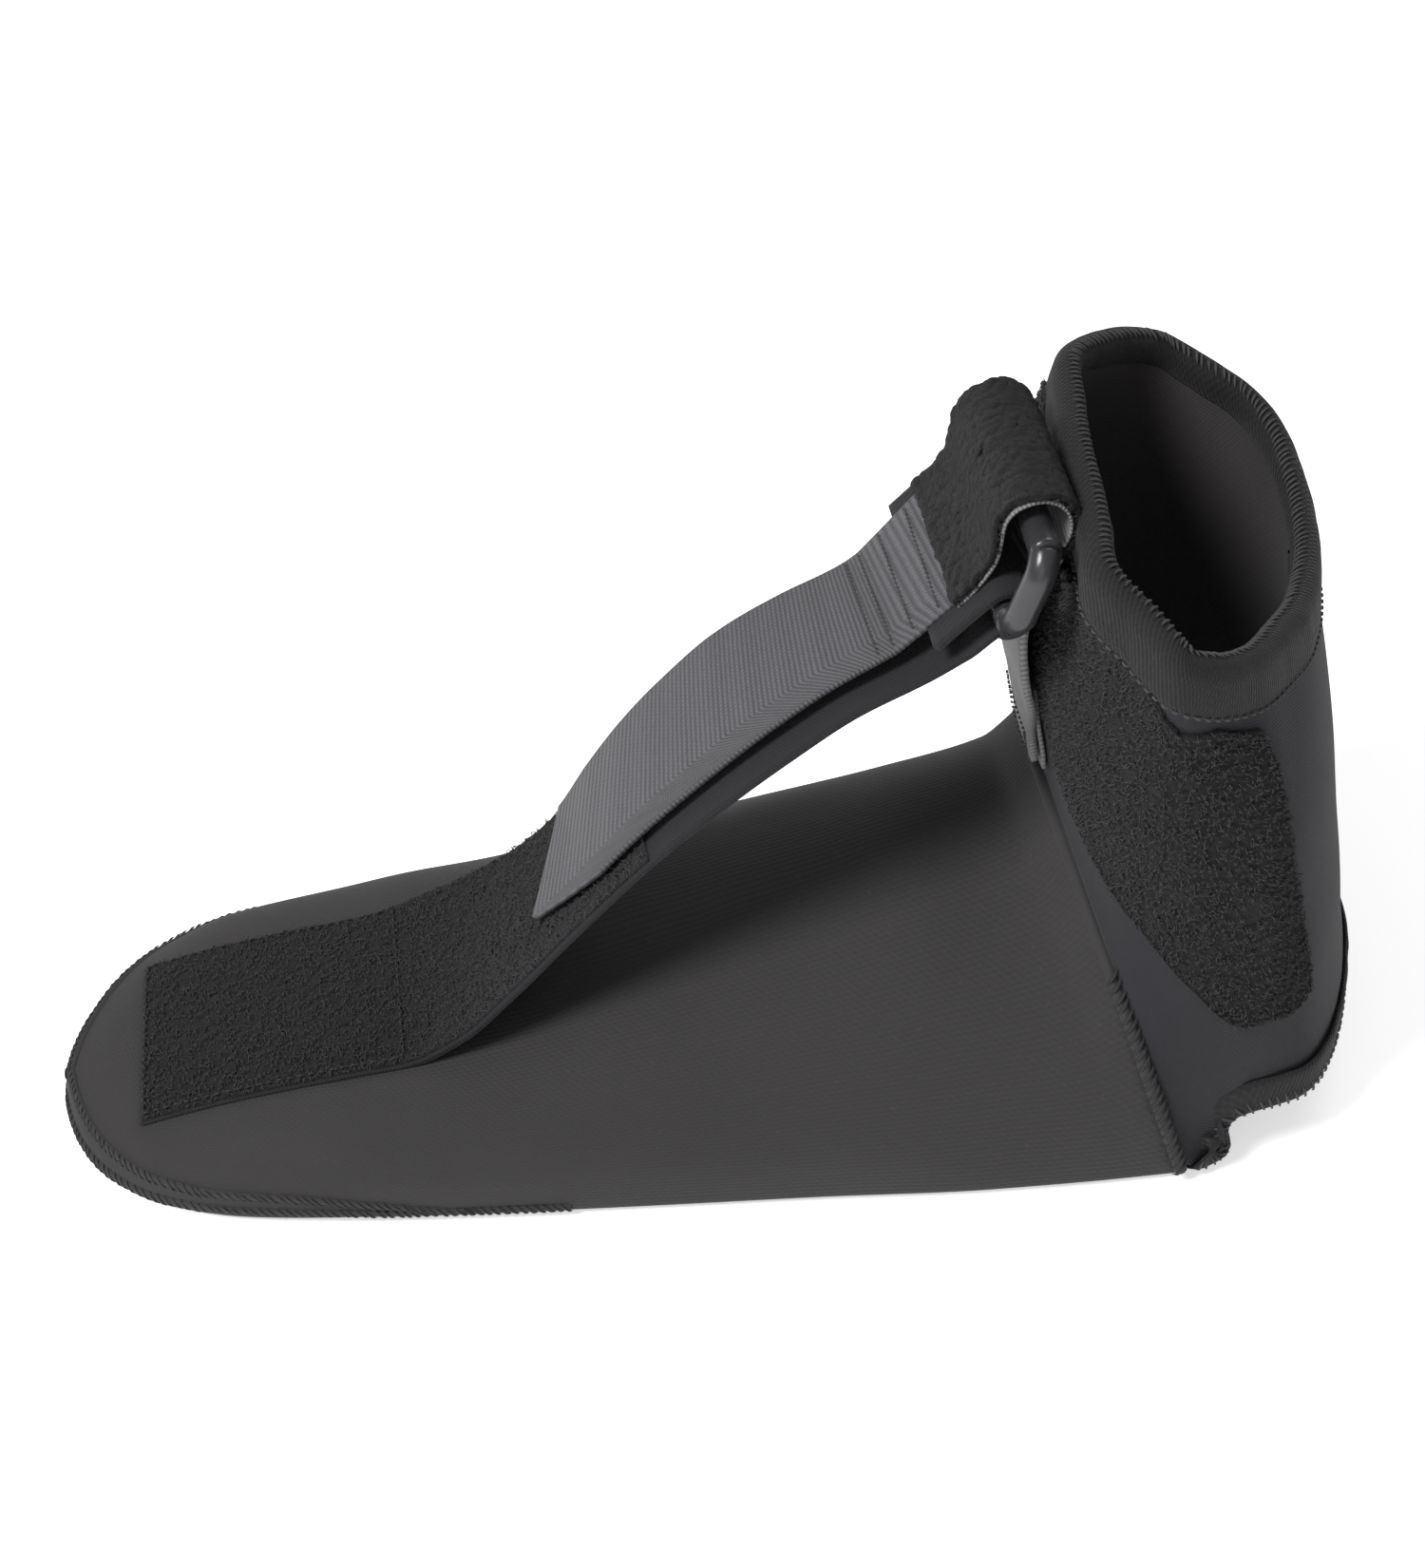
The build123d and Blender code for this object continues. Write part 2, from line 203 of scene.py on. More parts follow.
def strokeMesh(name, strokes, radius, sides=6, taper=True, closed=False):
    # threads, cords and fibres: one tapered tube along each stroke of points in mm
    rings = []
    joins = set()
    for stroke in strokes:
        count = len(stroke)
        side = None
        first = len(rings)
        for k in range(count + (1 if closed else 0)):
            here = Vector(stroke[k % count])
            before = Vector(stroke[(k - 1) % count]) if closed or k > 0 else here
            after = Vector(stroke[(k + 1) % count]) if closed or k < count - 1 else here
            along = (after - before).normalized()
            if side is None:
                side = along.orthogonal().normalized()
            side = (side - along * side.dot(along)).normalized()
            share = k / max(count - 1, 1)
            size = radius * (max(math.sin(math.pi * share), 0.0) ** 0.5 if taper else 1.0)
            rings.append((here, side.copy(), along.cross(side), max(size, radius * 0.08)))
        if closed:
            rings[-1] = rings[first]
        joins.add(len(rings) - 1)
    bm = bmesh.new()
    made = bmesh.ops.create_grid(bm, x_segments=sides, y_segments=len(rings) - 1, size=0.5)
    rowOf = {}
    for v in made["verts"]:
        k = round((v.co.y + 0.5) * (len(rings) - 1))
        rowOf[v] = k
        turn = 2 * math.pi * (v.co.x + 0.5)
        here, a, b, size = rings[k]
        v.co = (here + (a * math.cos(turn) + b * math.sin(turn)) * size) * mm
    between = []  # faces that would run from one stroke to the next
    for f in bm.faces:
        rows = [rowOf[v] for v in f.verts]
        if min(rows) in joins and max(rows) - 1 in joins:
            between.append(f)
    bmesh.ops.delete(bm, geom=between, context="FACES")
    bmesh.ops.remove_doubles(bm, verts=bm.verts, dist=1e-7)
    bmesh.ops.recalc_face_normals(bm, faces=bm.faces)
    return finishMesh(bm, name)


def whip(path, pitch, reach, lift, lean=0.4, seed=3):
    # stitches that cross a line: path gives (point, outward, across) frames
    rng = random.Random(seed)
    strokes = []
    for point, out, across in path:
        along = out.cross(across).normalized()
        size = reach * rng.uniform(0.85, 1.12)
        drift = rng.uniform(-0.15, 0.15) * pitch
        line = []
        for k in range(5):
            t = k / 4 - 0.5
            rise = lift * math.cos(math.pi * t) ** 0.5 if abs(t) < 0.5 else -0.2
            line.append(point + across * (size * 2 * t) + along * (lean * 2 * t * pitch + drift) + out * rise)
        strokes.append(line)
    return strokes


def dash(a, b, rise, middle, end):  # one stitch from a towards b, its middle lifted off the cloth
    return [a, a.lerp(b, middle) + rise, a.lerp(b, end)]


def dress(obj, material):
    obj.data.materials.clear()
    obj.data.materials.append(material)
    return obj


# finishes

def groupSocket(tree, name, way, kind, value=None):
    socket = tree.interface.new_socket(name=name, in_out=way, socket_type=kind)
    if value is not None:
        socket.default_value = value
    return socket


def wire(tree, a, b):
    tree.links.new(a, b)


def mathNode(tree, operation, a, b=None, clamp=False):
    node = tree.nodes.new("ShaderNodeMath")
    node.operation = operation
    node.use_clamp = clamp
    for k, value in enumerate((a, b)):
        if value is None:
            continue
        if isinstance(value, (int, float)):
            node.inputs[k].default_value = value
        else:
            wire(tree, value, node.inputs[k])
    return node.outputs[0]


def mixColor(tree, factor, a, b):
    node = tree.nodes.new("ShaderNodeMix")
    node.data_type = "RGBA"
    for k, value in ((0, factor), (6, a), (7, b)):
        if isinstance(value, (int, float, tuple)):
            node.inputs[k].default_value = value
        else:
            wire(tree, value, node.inputs[k])
    return node.outputs[2]


def noiseNode(tree, vector, scale, detail, roughness=0.5, distortion=0.0):
    node = tree.nodes.new("ShaderNodeTexNoise")
    node.inputs["Detail"].default_value = detail
    node.inputs["Roughness"].default_value = roughness
    node.inputs["Distortion"].default_value = distortion
    wire(tree, vector, node.inputs["Vector"])
    if isinstance(scale, (int, float)):
        node.inputs["Scale"].default_value = scale
    else:
        wire(tree, scale, node.inputs["Scale"])
    return node.outputs["Fac"]


def knitGroup():  # fine lengthwise knit ribs with a small stitch beat along each rib
    tree = bpy.data.node_groups.new("knitRibs", "ShaderNodeTree")
    groupSocket(tree, "Vector", "INPUT", "NodeSocketVector")
    groupSocket(tree, "Rib Pitch", "INPUT", "NodeSocketFloat", 0.001)
    groupSocket(tree, "Stitch Pitch", "INPUT", "NodeSocketFloat", 0.0014)
    groupSocket(tree, "Height", "OUTPUT", "NodeSocketFloat")
    groupSocket(tree, "Mottle", "OUTPUT", "NodeSocketFloat")
    inp = tree.nodes.new("NodeGroupInput")
    out = tree.nodes.new("NodeGroupOutput")
    split = tree.nodes.new("ShaderNodeSeparateXYZ")
    warp = noiseNode(tree, inp.outputs["Vector"], 60.0, 2.0)
    wire(tree, inp.outputs["Vector"], split.inputs[0])
    drift = mathNode(tree, "MULTIPLY", warp, 0.0012)
    across = mathNode(tree, "ADD", split.outputs["Y"], drift)
    turns = mathNode(tree, "DIVIDE", across, inp.outputs["Rib Pitch"])
    rib = mathNode(tree, "SINE", mathNode(tree, "MULTIPLY", turns, 2 * math.pi))
    row = mathNode(tree, "DIVIDE", split.outputs["X"], inp.outputs["Stitch Pitch"])
    stagger = mathNode(tree, "ADD", row, mathNode(tree, "MULTIPLY", turns, 0.5))
    beat = mathNode(tree, "SINE", mathNode(tree, "MULTIPLY", stagger, 2 * math.pi))
    both = mathNode(tree, "ADD", mathNode(tree, "MULTIPLY", rib, 0.5), mathNode(tree, "MULTIPLY", beat, 0.28))
    wire(tree, mathNode(tree, "ADD", both, 0.5), out.inputs["Height"])
    wire(tree, noiseNode(tree, inp.outputs["Vector"], 28.0, 5.0), out.inputs["Mottle"])
    return tree


def lintGroup():  # scattered light specks and short fibres
    tree = bpy.data.node_groups.new("lintSpecks", "ShaderNodeTree")
    groupSocket(tree, "Vector", "INPUT", "NodeSocketVector")
    groupSocket(tree, "Size", "INPUT", "NodeSocketFloat", 900.0)
    groupSocket(tree, "Amount", "INPUT", "NodeSocketFloat", 0.5)
    groupSocket(tree, "Mask", "OUTPUT", "NodeSocketFloat")
    inp = tree.nodes.new("NodeGroupInput")
    out = tree.nodes.new("NodeGroupOutput")
    grain = noiseNode(tree, inp.outputs["Vector"], inp.outputs["Size"], 4.0, 0.7)
    low = mathNode(tree, "SUBTRACT", 0.78, mathNode(tree, "MULTIPLY", inp.outputs["Amount"], 0.3))
    over = mathNode(tree, "SUBTRACT", grain, low)
    wire(tree, mathNode(tree, "MULTIPLY", over, 5.0, clamp=True), out.inputs["Mask"])
    return tree


knitRibs = knitGroup()
lintSpecks = lintGroup()


def startMaterial(name, rough, sheen=0.0):
    material = bpy.data.materials.new(name)
    material.use_nodes = True
    tree = material.node_tree
    shader = tree.nodes["Principled BSDF"]
    shader.inputs["Roughness"].default_value = rough
    shader.inputs["Specular IOR Level"].default_value = 0.25
    if sheen:
        shader.inputs["Sheen Weight"].default_value = sheen
        shader.inputs["Sheen Roughness"].default_value = 0.5
        shader.inputs["Sheen Tint"].default_value = (1, 1, 1, 1)
    return material, tree, shader


def uvVector(tree):
    return tree.nodes.new("ShaderNodeTexCoord").outputs["UV"]


def objectVector(tree):
    return tree.nodes.new("ShaderNodeTexCoord").outputs["Object"]


def addBump(tree, shader, height, strength, distance):
    bump = tree.nodes.new("ShaderNodeBump")
    bump.inputs["Strength"].default_value = strength
    bump.inputs["Distance"].default_value = distance
    wire(tree, height, bump.inputs["Height"])
    wire(tree, bump.outputs["Normal"], shader.inputs["Normal"])


def shade(color, k):
    return (color[0] * k, color[1] * k, color[2] * k, 1)


def knitMaterial(name, color, pitch, depth, contrast, lint=0.4, sheen=0.05, swing=0.0):
    material, tree, shader = startMaterial(name, 0.85, sheen)
    swung = tree.nodes.new("ShaderNodeMapping")
    swung.inputs["Rotation"].default_value = (0, 0, swing)
    wire(tree, uvVector(tree), swung.inputs["Vector"])
    vector = swung.outputs["Vector"]
    ribs = tree.nodes.new("ShaderNodeGroup")
    ribs.node_tree = knitRibs
    ribs.inputs["Rib Pitch"].default_value = pitch
    ribs.inputs["Stitch Pitch"].default_value = pitch * 1.35
    wire(tree, vector, ribs.inputs["Vector"])
    specks = tree.nodes.new("ShaderNodeGroup")
    specks.node_tree = lintSpecks
    specks.inputs["Amount"].default_value = lint
    wire(tree, vector, specks.inputs["Vector"])
    base = mixColor(tree, ribs.outputs["Height"], shade(color, 1 - contrast), shade(color, 1 + contrast))
    mottled = mixColor(tree, ribs.outputs["Mottle"], shade(color, 0.72), shade(color, 1.22))
    blend = mixColor(tree, 0.5, base, mottled)
    full = mixColor(tree, mathNode(tree, "MULTIPLY", specks.outputs["Mask"], 0.35), blend, shade(color, 3.0))
    wire(tree, full, shader.inputs["Base Color"])
    grain = mathNode(tree, "ADD", ribs.outputs["Height"], mathNode(tree, "MULTIPLY", specks.outputs["Mask"], 0.6))
    addBump(tree, shader, grain, depth, 0.00025)
    return material


def pileMaterial(name, color, light):
    material, tree, shader = startMaterial(name, 0.95, 0.06)
    vector = objectVector(tree)
    curls = noiseNode(tree, vector, 1100.0, 6.0, 0.72, 1.2)
    clumps = noiseNode(tree, vector, 260.0, 3.0)
    level = mathNode(tree, "MULTIPLY", mathNode(tree, "SUBTRACT", curls, 0.42), 3.4, clamp=True)
    # painted light: the curl noise paints highlights on the loop tops, up to the given highlight factor times the
    # colour, and painted shade at 0.45 times the colour between them
    paintedCurlLight = mixColor(tree, level, shade(color, 0.45), shade(color, light))
    full = mixColor(tree, mathNode(tree, "MULTIPLY", clumps, 0.6), paintedCurlLight, shade(color, 0.9))
    wire(tree, full, shader.inputs["Base Color"])
    addBump(tree, shader, mathNode(tree, "ADD", curls, clumps), 0.9, 0.0011)
    return material


def webbingMaterial(name, color, pitch, fine, depth):
    # ribs lie across the strap, with small hook tips or yarn beats on each rib
    material, tree, shader = startMaterial(name, 0.62, 0.03)
    vector = uvVector(tree)
    split = tree.nodes.new("ShaderNodeSeparateXYZ")
    wire(tree, vector, split.inputs[0])
    lean = mathNode(tree, "ADD", split.outputs["X"], mathNode(tree, "MULTIPLY", split.outputs["Y"], 0.10))
    turns = mathNode(tree, "MULTIPLY", lean, 2 * math.pi / pitch)
    rib = mathNode(tree, "MULTIPLY", mathNode(tree, "ADD", mathNode(tree, "SINE", turns), 1.0), 0.5)
    wide = mathNode(tree, "SINE", mathNode(tree, "MULTIPLY", lean, 2 * math.pi / (pitch * 7.3)))
    beat = mathNode(tree, "SINE", mathNode(tree, "MULTIPLY", split.outputs["Y"], 2 * math.pi / fine))
    beat = mathNode(tree, "MULTIPLY", mathNode(tree, "ADD", beat, 1.0), 0.5)
    height = mathNode(tree, "MULTIPLY", rib, mathNode(tree, "ADD", mathNode(tree, "MULTIPLY", beat, 0.6), 0.4))
    grain = noiseNode(tree, vector, 700.0, 4.0)
    uneven = mathNode(tree, "ADD", height, mathNode(tree, "MULTIPLY", grain, 0.35))
    tone = mixColor(tree, uneven, shade(color, 0.55), shade(color, 1.35))
    band = mathNode(tree, "MULTIPLY", mathNode(tree, "ADD", wide, 1.0), 0.03)
    wire(tree, mixColor(tree, band, tone, shade(color, 1.9)), shader.inputs["Base Color"])
    addBump(tree, shader, uneven, depth, 0.0005)
    return material


def threadMaterial(name, color):
    material, tree, shader = startMaterial(name, 0.7, 0.03)
    twist = noiseNode(tree, objectVector(tree), 1500.0, 3.0)
    wire(tree, mixColor(tree, twist, shade(color, 0.5), shade(color, 1.6)), shader.inputs["Base Color"])
    addBump(tree, shader, twist, 0.7, 0.0003)
    return material


def plasticMaterial(name, color):
    material, tree, shader = startMaterial(name, 0.22)
    shader.inputs["Specular IOR Level"].default_value = 0.5
    vector = objectVector(tree)
    grain = noiseNode(tree, vector, 900.0, 3.0)
    rub = noiseNode(tree, vector, 90.0, 4.0)
    rough = tree.nodes.new("ShaderNodeMapRange")
    rough.inputs["To Min"].default_value = 0.16
    rough.inputs["To Max"].default_value = 0.36
    wire(tree, rub, rough.inputs["Value"])
    wire(tree, rough.outputs["Result"], shader.inputs["Roughness"])
    wire(tree, mixColor(tree, rub, shade(color, 0.8), shade(color, 1.4)), shader.inputs["Base Color"])
    addBump(tree, shader, grain, 0.15, 0.0001)
    return material


finishes = {
    "sleeveKnit": knitMaterial("sleeveKnit", (0.0345, 0.0325, 0.0335), 0.0011, 0.3, 0.12, 0.6),
    "cuffKnit": knitMaterial("cuffKnit", (0.020, 0.020, 0.024), 0.0008, 0.3, 0.1, 0.25),
    "liningKnit": knitMaterial("liningKnit", (0.036, 0.032, 0.034), 0.0009, 0.3, 0.15, 0.2),
    "bindingKnit": knitMaterial("bindingKnit", (0.013, 0.013, 0.014), 0.0013, 0.7, 0.3, 0.8, swing=1.15),
    "loopPile": pileMaterial("loopPile", (0.0090, 0.0090, 0.0100), 2.8),
    "strapBack": knitMaterial("strapBack", (0.018, 0.018, 0.021), 0.0008, 0.4, 0.2, 0.2),
    "hookWebbing": webbingMaterial("hookWebbing", (0.088, 0.086, 0.094), 0.0015, 0.0011, 0.8),
    "anchorWebbing": webbingMaterial("anchorWebbing", (0.19, 0.188, 0.192), 0.0012, 0.0009, 0.5),
    "pileFibre": threadMaterial("pileFibre", (0.040, 0.040, 0.042)),
    "greyThread": threadMaterial("greyThread", (0.046, 0.046, 0.048)),
    "darkThread": threadMaterial("darkThread", (0.024, 0.024, 0.026)),
    "ringPlastic": plasticMaterial("ringPlastic", (0.026, 0.026, 0.029)),
}
print("finishes built")

# forms shared by the fabric pieces

footForm = {
    "toeX": -221.0,
    "creaseX": -3.0,
    "creaseZ": 73.0,
    "slope": 25.0 / 73.0,
    "fold": 2.6,  # radius of the soft fold along the floor
    "foldShare": 0.06,  # part of the way round that the fold takes
    "tuck": 7.0,
    "tuckLift": 0.15,
    # floor x, half width, height, squareness of the arch, sideways shift
    "stations": [
        (-221.0, 3.0, 6.5, 2.0, -2.0),
        (-219.5, 11.0, 7.6, 2.1, -2.0),
        (-216.0, 20.5, 9.2, 2.2, -2.0),
        (-210.0, 29.5, 11.2, 2.4, -1.5),
        (-200.0, 37.5, 13.8, 2.7, -1.0),
        (-181.0, 44.8, 17.6, 2.9, 0.0),
        (-147.6, 49.0, 22.5, 2.9, 0.0),
        (-118.0, 51.6, 26.6, 2.7, 0.0),
        (-94.0, 53.4, 32.4, 2.5, 0.0),
        (-58.6, 55.8, 41.0, 2.3, 0.0),
        (-20.0, 58.8, 52.0, 2.1, 0.0),
        (9.5, 59.5, 61.5, 2.0, 0.0),
        (16.0, 59.5, 67.0, 2.0, 0.0),
        (22.0, 59.5, 73.0, 2.0, 0.0),
    ],
}
stationAt = Table(footForm["stations"], 0.25)
seamFloorX = footForm["creaseX"] + footForm["slope"] * footForm["creaseZ"]


def seamX(z):
    return footForm["creaseX"] + footForm["slope"] * (footForm["creaseZ"] - z)


def footPoint(floorX, turn, grow=0.0):
    # turn runs from 0 at the near floor line, over the top, to 1 at the far floor line
    half, high, square, shift = stationAt(floorX)
    half, high = half + grow, high + grow
    fold = min(footForm["fold"], high * 0.45)
    a = math.pi * min(max(turn, 0.0), 1.0)
    c, s = math.cos(a), math.sin(a)
    y = -half * math.copysign(abs(c) ** (2 / square), c)
    z = fold + (high - fold) * abs(s) ** (2 / square)
    if turn < 0 or turn > 1:  # the cloth folds under the foot
        side = -1 if turn < 0 else 1
        past = (-turn if turn < 0 else turn - 1) / footForm["foldShare"]
        b = min(past, 1.0) * math.pi / 2
        y = side * (half - fold * (1 - math.cos(b)) - footForm["tuck"] * max(past - 1.0, 0.0))
        z = fold * (1 - math.sin(b)) + (footForm["tuckLift"] if past > 1 else 0.0)
    share = (floorX - footForm["toeX"]) / (seamFloorX - footForm["toeX"])
    x = footForm["toeX"] + share * (seamX(z) - footForm["toeX"])
    return Vector((x, y + shift, z))


def softCloth(p, size, reach):  # slow waves of a hand's width in cloth
    q = Vector(p) / size
    apart = (Vector((0, 0, 0)), Vector((7.1, 3.3, 1.7)), Vector((2.9, 8.4, 5.2)))
    return Vector([noise.noise(q + shift) for shift in apart]) * reach


cuffForm = {
    # height, front, back, half width, squareness of the front half and of the back half
    "levels": [
        (0.0, -14.0, 70.5, 57.5, 2.3, 2.0),
        (15.0, -13.0, 70.5, 56.5, 2.3, 2.05),
        (46.0, -6.0, 65.0, 55.0, 2.4, 2.0),
        (75.0, -3.6, 59.0, 56.0, 2.6, 2.0),
        (92.0, -6.0, 56.0, 57.0, 2.8, 2.0),
        (110.0, -7.6, 53.0, 57.5, 2.8, 2.0),
        (140.0, -7.6, 50.5, 57.0, 2.7, 2.0),
        (156.0, -7.6, 49.5, 57.0, 2.6, 2.0),
    ],
    # outer edge of the rim seen from above, from the front by the near side
    "rim": [
        (-3.2, 0.0), (-4.2, -12.0), (-5.8, -25.0), (-7.5, -34.8), (-6.2, -41.5), (-2.0, -48.5), (3.0, -58.8),
        (8.0, -60.3), (15.5, -57.8), (23.5, -51.5), (31.0, -42.0), (38.5, -31.5), (45.5, -16.0), (49.6, -1.5),
        (52.0, 13.0), (53.0, 30.0), (50.0, 42.0), (42.0, 49.5), (33.0, 55.2), (25.0, 54.5), (17.0, 50.5),
        (7.5, 42.5), (2.2, 34.0), (-0.2, 21.0), (-2.2, 9.0),
    ],
    "rimFront": 152.5,
    "rimDrop": 22.0,
    "rimRoll": 0.07,
    "rimReach": 20.0,  # how far below the rim its own outline is felt
    "fade": 16.0,
    "columns": 220,
    "legMiddle": 22.0,
    "legHalf": (29.0, 57.0),  # half depth and half width of the leg
    "smoothSpan": 15,  # edge points either side that a wall angle is averaged over
}
levelAt = Table(cuffForm["levels"], 0.5)


def ovalPoint(angle, z):
    front, back, half, frontSquare, backSquare = levelAt(z)
    c, s = math.cos(angle), math.sin(angle)
    mix = smooth((c + 0.35) / 0.7)
    square = frontSquare + (backSquare - frontSquare) * mix
    x = (front + back) / 2 + (back - front) / 2 * math.copysign(abs(c) ** (2 / square), c)
    y = half * math.copysign(abs(s) ** (2 / square), s)
    return Vector((x, y, z))


def ovalAngle(x, y, z):
    front, back, half, frontSquare, backSquare = levelAt(z)
    c = (x - (front + back) / 2) / ((back - front) / 2)
    s = y / half
    return math.atan2(s, c)


def rimHeight(x, y):
    return cuffForm["rimFront"] - cuffForm["rimDrop"] * (x + 5.0) / 56.0 + cuffForm["rimRoll"] * y


rimLine = evenPath([(x, y, 0.0) for x, y in cuffForm["rim"]], 240, closed=True, dense=12)
rimBearings = []  # bearing of each rim point about the middle of the leg, running one way
for p in rimLine:
    bearing = math.atan2(p.y / cuffForm["legHalf"][1], (p.x - cuffForm["legMiddle"]) / cuffForm["legHalf"][0])
    rimBearings.append(unwrap(bearing, rimBearings[-1]) if rimBearings else bearing)


def rimPoint(angle):
    while angle < rimBearings[0]:
        angle += 2 * math.pi
    while angle > rimBearings[0] + 2 * math.pi:
        angle -= 2 * math.pi
    ends = rimBearings[1:] + [rimBearings[0] + 2 * math.pi]
    i = min(max(0, sum(1 for value in ends if value <= angle)), len(rimLine) - 1)
    a, b = rimBearings[i], ends[i]
    share = min(max((angle - a) / max(b - a, 1e-6), 0.0), 1.0)
    p = rimLine[i].lerp(rimLine[(i + 1) % len(rimLine)], share)
    return Vector((p.x, p.y, rimHeight(p.x, p.y)))


def cuffEdge():
    # lower edge of the cuff: up the near ankle seam, down the far one, and round the open heel
    near = []
    for k in range(14):
        turn = 0.5 - 0.485 * k / 13
        near.append(footPoint(seamFloorX, turn))
    tab = [(24.5, -58.3, 1.6), (28.5, -57.0, 1.4), (31.6, -56.0, 3.0)]
    tab += [(30.6, -55.4, 8.0), (31.6, -55.2, 12.4), (35.0, -55.2, 14.6)]
    heel = [(42.0, -54.0, 15.0), (48.0, -52.2, 15.0), (53.0, -47.5, 15.0), (58.5, -39.0, 15.0), (63.0, -29.5, 15.0)]
    heel += [(66.6, -20.0, 15.0), (69.5, -10.5, 15.0), (70.6, 0.0, 15.0)]
    side = near + [Vector(p) for p in tab + heel]
    other = [Vector((p.x, -p.y, p.z)) for p in reversed(side[1:-1])]
    return side + other


edgeLine = evenPath(cuffEdge(), cuffForm["columns"], closed=True, dense=8)
edgeAngles = [ovalAngle(p.x, p.y, p.z) for p in edgeLine]
for k in range(1, len(edgeAngles)):  # keep the angles running one way
    edgeAngles[k] = unwrap(edgeAngles[k], edgeAngles[k - 1])


def alongEdge(u):
    f = (u % 1.0) * len(edgeLine)
    i = int(f)
    f -= i
    j = (i + 1) % len(edgeLine)
    a = wallAngles[i]
    b = unwrap(wallAngles[j], a)
    return edgeLine[i].lerp(edgeLine[j], f), a + (b - a) * f


smoothSpan = cuffForm["smoothSpan"]
fullTurn = 2 * math.pi * (1 if edgeAngles[-1] > edgeAngles[0] else -1)
wallAngles = []  # the edge angles averaged along the edge, so the wall above a tab has no fold
for k in range(len(edgeAngles)):
    total = 0.0
    for j in range(k - smoothSpan, k + smoothSpan + 1):
        total += edgeAngles[j % len(edgeAngles)] + fullTurn * (j // len(edgeAngles))
    wallAngles.append(total / (2 * smoothSpan + 1))
rimAbove = [rimPoint(angle) for angle in wallAngles]


def alongRim(u):
    f = (u % 1.0) * len(rimAbove)
    i = int(f)
    return rimAbove[i].lerp(rimAbove[(i + 1) % len(rimAbove)], f - i)


def cuffPoint(u, w):
    # u runs round the lower edge from the instep crease by the near side, w from that edge to the rim
    base, angle = alongEdge(u)
    rim = alongRim(u)
    z = base.z + (rim.z - base.z) * w
    p = ovalPoint(angle, z)
    foot = ovalPoint(angle, base.z)
    top = ovalPoint(angle, rim.z)
    pull = math.exp(-((z - base.z) / cuffForm["fade"]) ** 1.3)
    lean = math.exp(-((rim.z - z) / cuffForm["rimReach"]) ** 1.6)
    p += Vector((base.x - foot.x, base.y - foot.y, 0)) * pull
    p += Vector((rim.x - top.x, rim.y - top.y, 0)) * lean
    return p


def axisPoint(center):  # a point on the inside of the cuff at the same height, for facing cloth outwards
    return Vector((0.030, 0.0, center.z))


def footAxis(center):
    return Vector((center.x, 0.0, 0.010))


def bendAtAnkle(obj):
    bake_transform(obj)
    return obj

# foot sleeve

sleeve = {"cols": 230, "rows": 96, "wave": 0.7, "waveSize": 34.0, "face": 3.0, "lining": 0.9}


def sleevePoint(u, w):
    share = u ** 1.35
    floorX = footForm["toeX"] + share * (seamFloorX - footForm["toeX"])
    turn = -0.13 + 1.26 * w
    p = footPoint(floorX, turn)
    free = smooth((p.z - 3.0) / 12.0) * smooth(u * 8) * smooth((1 - u) * 12)
    return p + softCloth(p, sleeve["waveSize"], sleeve["wave"]) * free


footUpper = clothGrid("footUpper", sleeve["cols"], sleeve["rows"], sleevePoint, (0.245, 0.19), inward=footAxis)
dress(footUpper, finishes["sleeveKnit"])
thicken(footUpper, sleeve["face"])
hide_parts("foot_upper")
bendAtAnkle(footUpper)


def liningPoint(u, w):
    share = 0.02 + 0.98 * u ** 1.35
    floorX = footForm["toeX"] + share * (seamFloorX - footForm["toeX"])
    return footPoint(floorX, -0.02 + 1.04 * w, -sleeve["face"] - 0.15)


footLining = clothGrid("footLining", 120, 60, liningPoint, (0.245, 0.17), inward=footAxis)
dress(footLining, finishes["liningKnit"])
thicken(footLining, sleeve["lining"])
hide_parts("foot_lining")
bendAtAnkle(footLining)


def solePoint(u, w):
    x = footForm["toeX"] + 3.5 + u * (30.0 - footForm["toeX"] - 3.5)
    half, high, square, shift = stationAt(min(x, 22.0))
    half -= 3.2 + 2.0 * smooth((x - 18.0) / 12.0)
    return Vector((x, shift + (2 * w - 1) * half, 0.0))


footSole = clothGrid("footSole", 150, 60, solePoint, (0.25, 0.12))
if footSole.data.polygons[0].normal.z > 0:
    footSole.data.flip_normals()
dress(footSole, finishes["sleeveKnit"])
thicken(footSole, 3.0)
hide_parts("foot_sole")
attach(footSole, "foot")
print("foot sleeve laid")

# cuff

cuffCloth = {"cols": 150, "rows": 70, "wave": 0.9, "waveSize": 38.0}


def cuffCover(lowU, highU):
    def place(u, w):
        p = cuffPoint(lowU + (highU - lowU) * u, w)
        free = smooth(w * 6) * smooth((1 - w) * 5)
        return p + softCloth(p, cuffCloth["waveSize"], cuffCloth["wave"]) * free
    return place


for side, lowU, highU in (("Near", 0.0, 0.5), ("Far", 0.5, 1.0)):
    panel = clothGrid(
        "cuff" + side + "Panel", cuffCloth["cols"], cuffCloth["rows"],
        cuffCover(lowU, highU), (0.20, 0.14), inward=axisPoint)
    dress(panel, finishes["cuffKnit"])
    thicken(panel, 3.0)
    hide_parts("cuff_" + side.lower() + "_panel")
    bendAtAnkle(panel)


def cuffInside(u, w):
    p = cuffPoint(u, 0.004 + 0.99 * w)
    center = Vector((30.0 if p.z < 60 else 24.0, 0.0, p.z))
    out = Vector((p.x - center.x, (p.y - center.y) * 0.42, 0)).normalized()
    wave = softCloth(p, cuffCloth["waveSize"], cuffCloth["wave"]) * smooth(w * 6) * smooth((1 - w) * 5)
    return p - out * 3.2 + wave


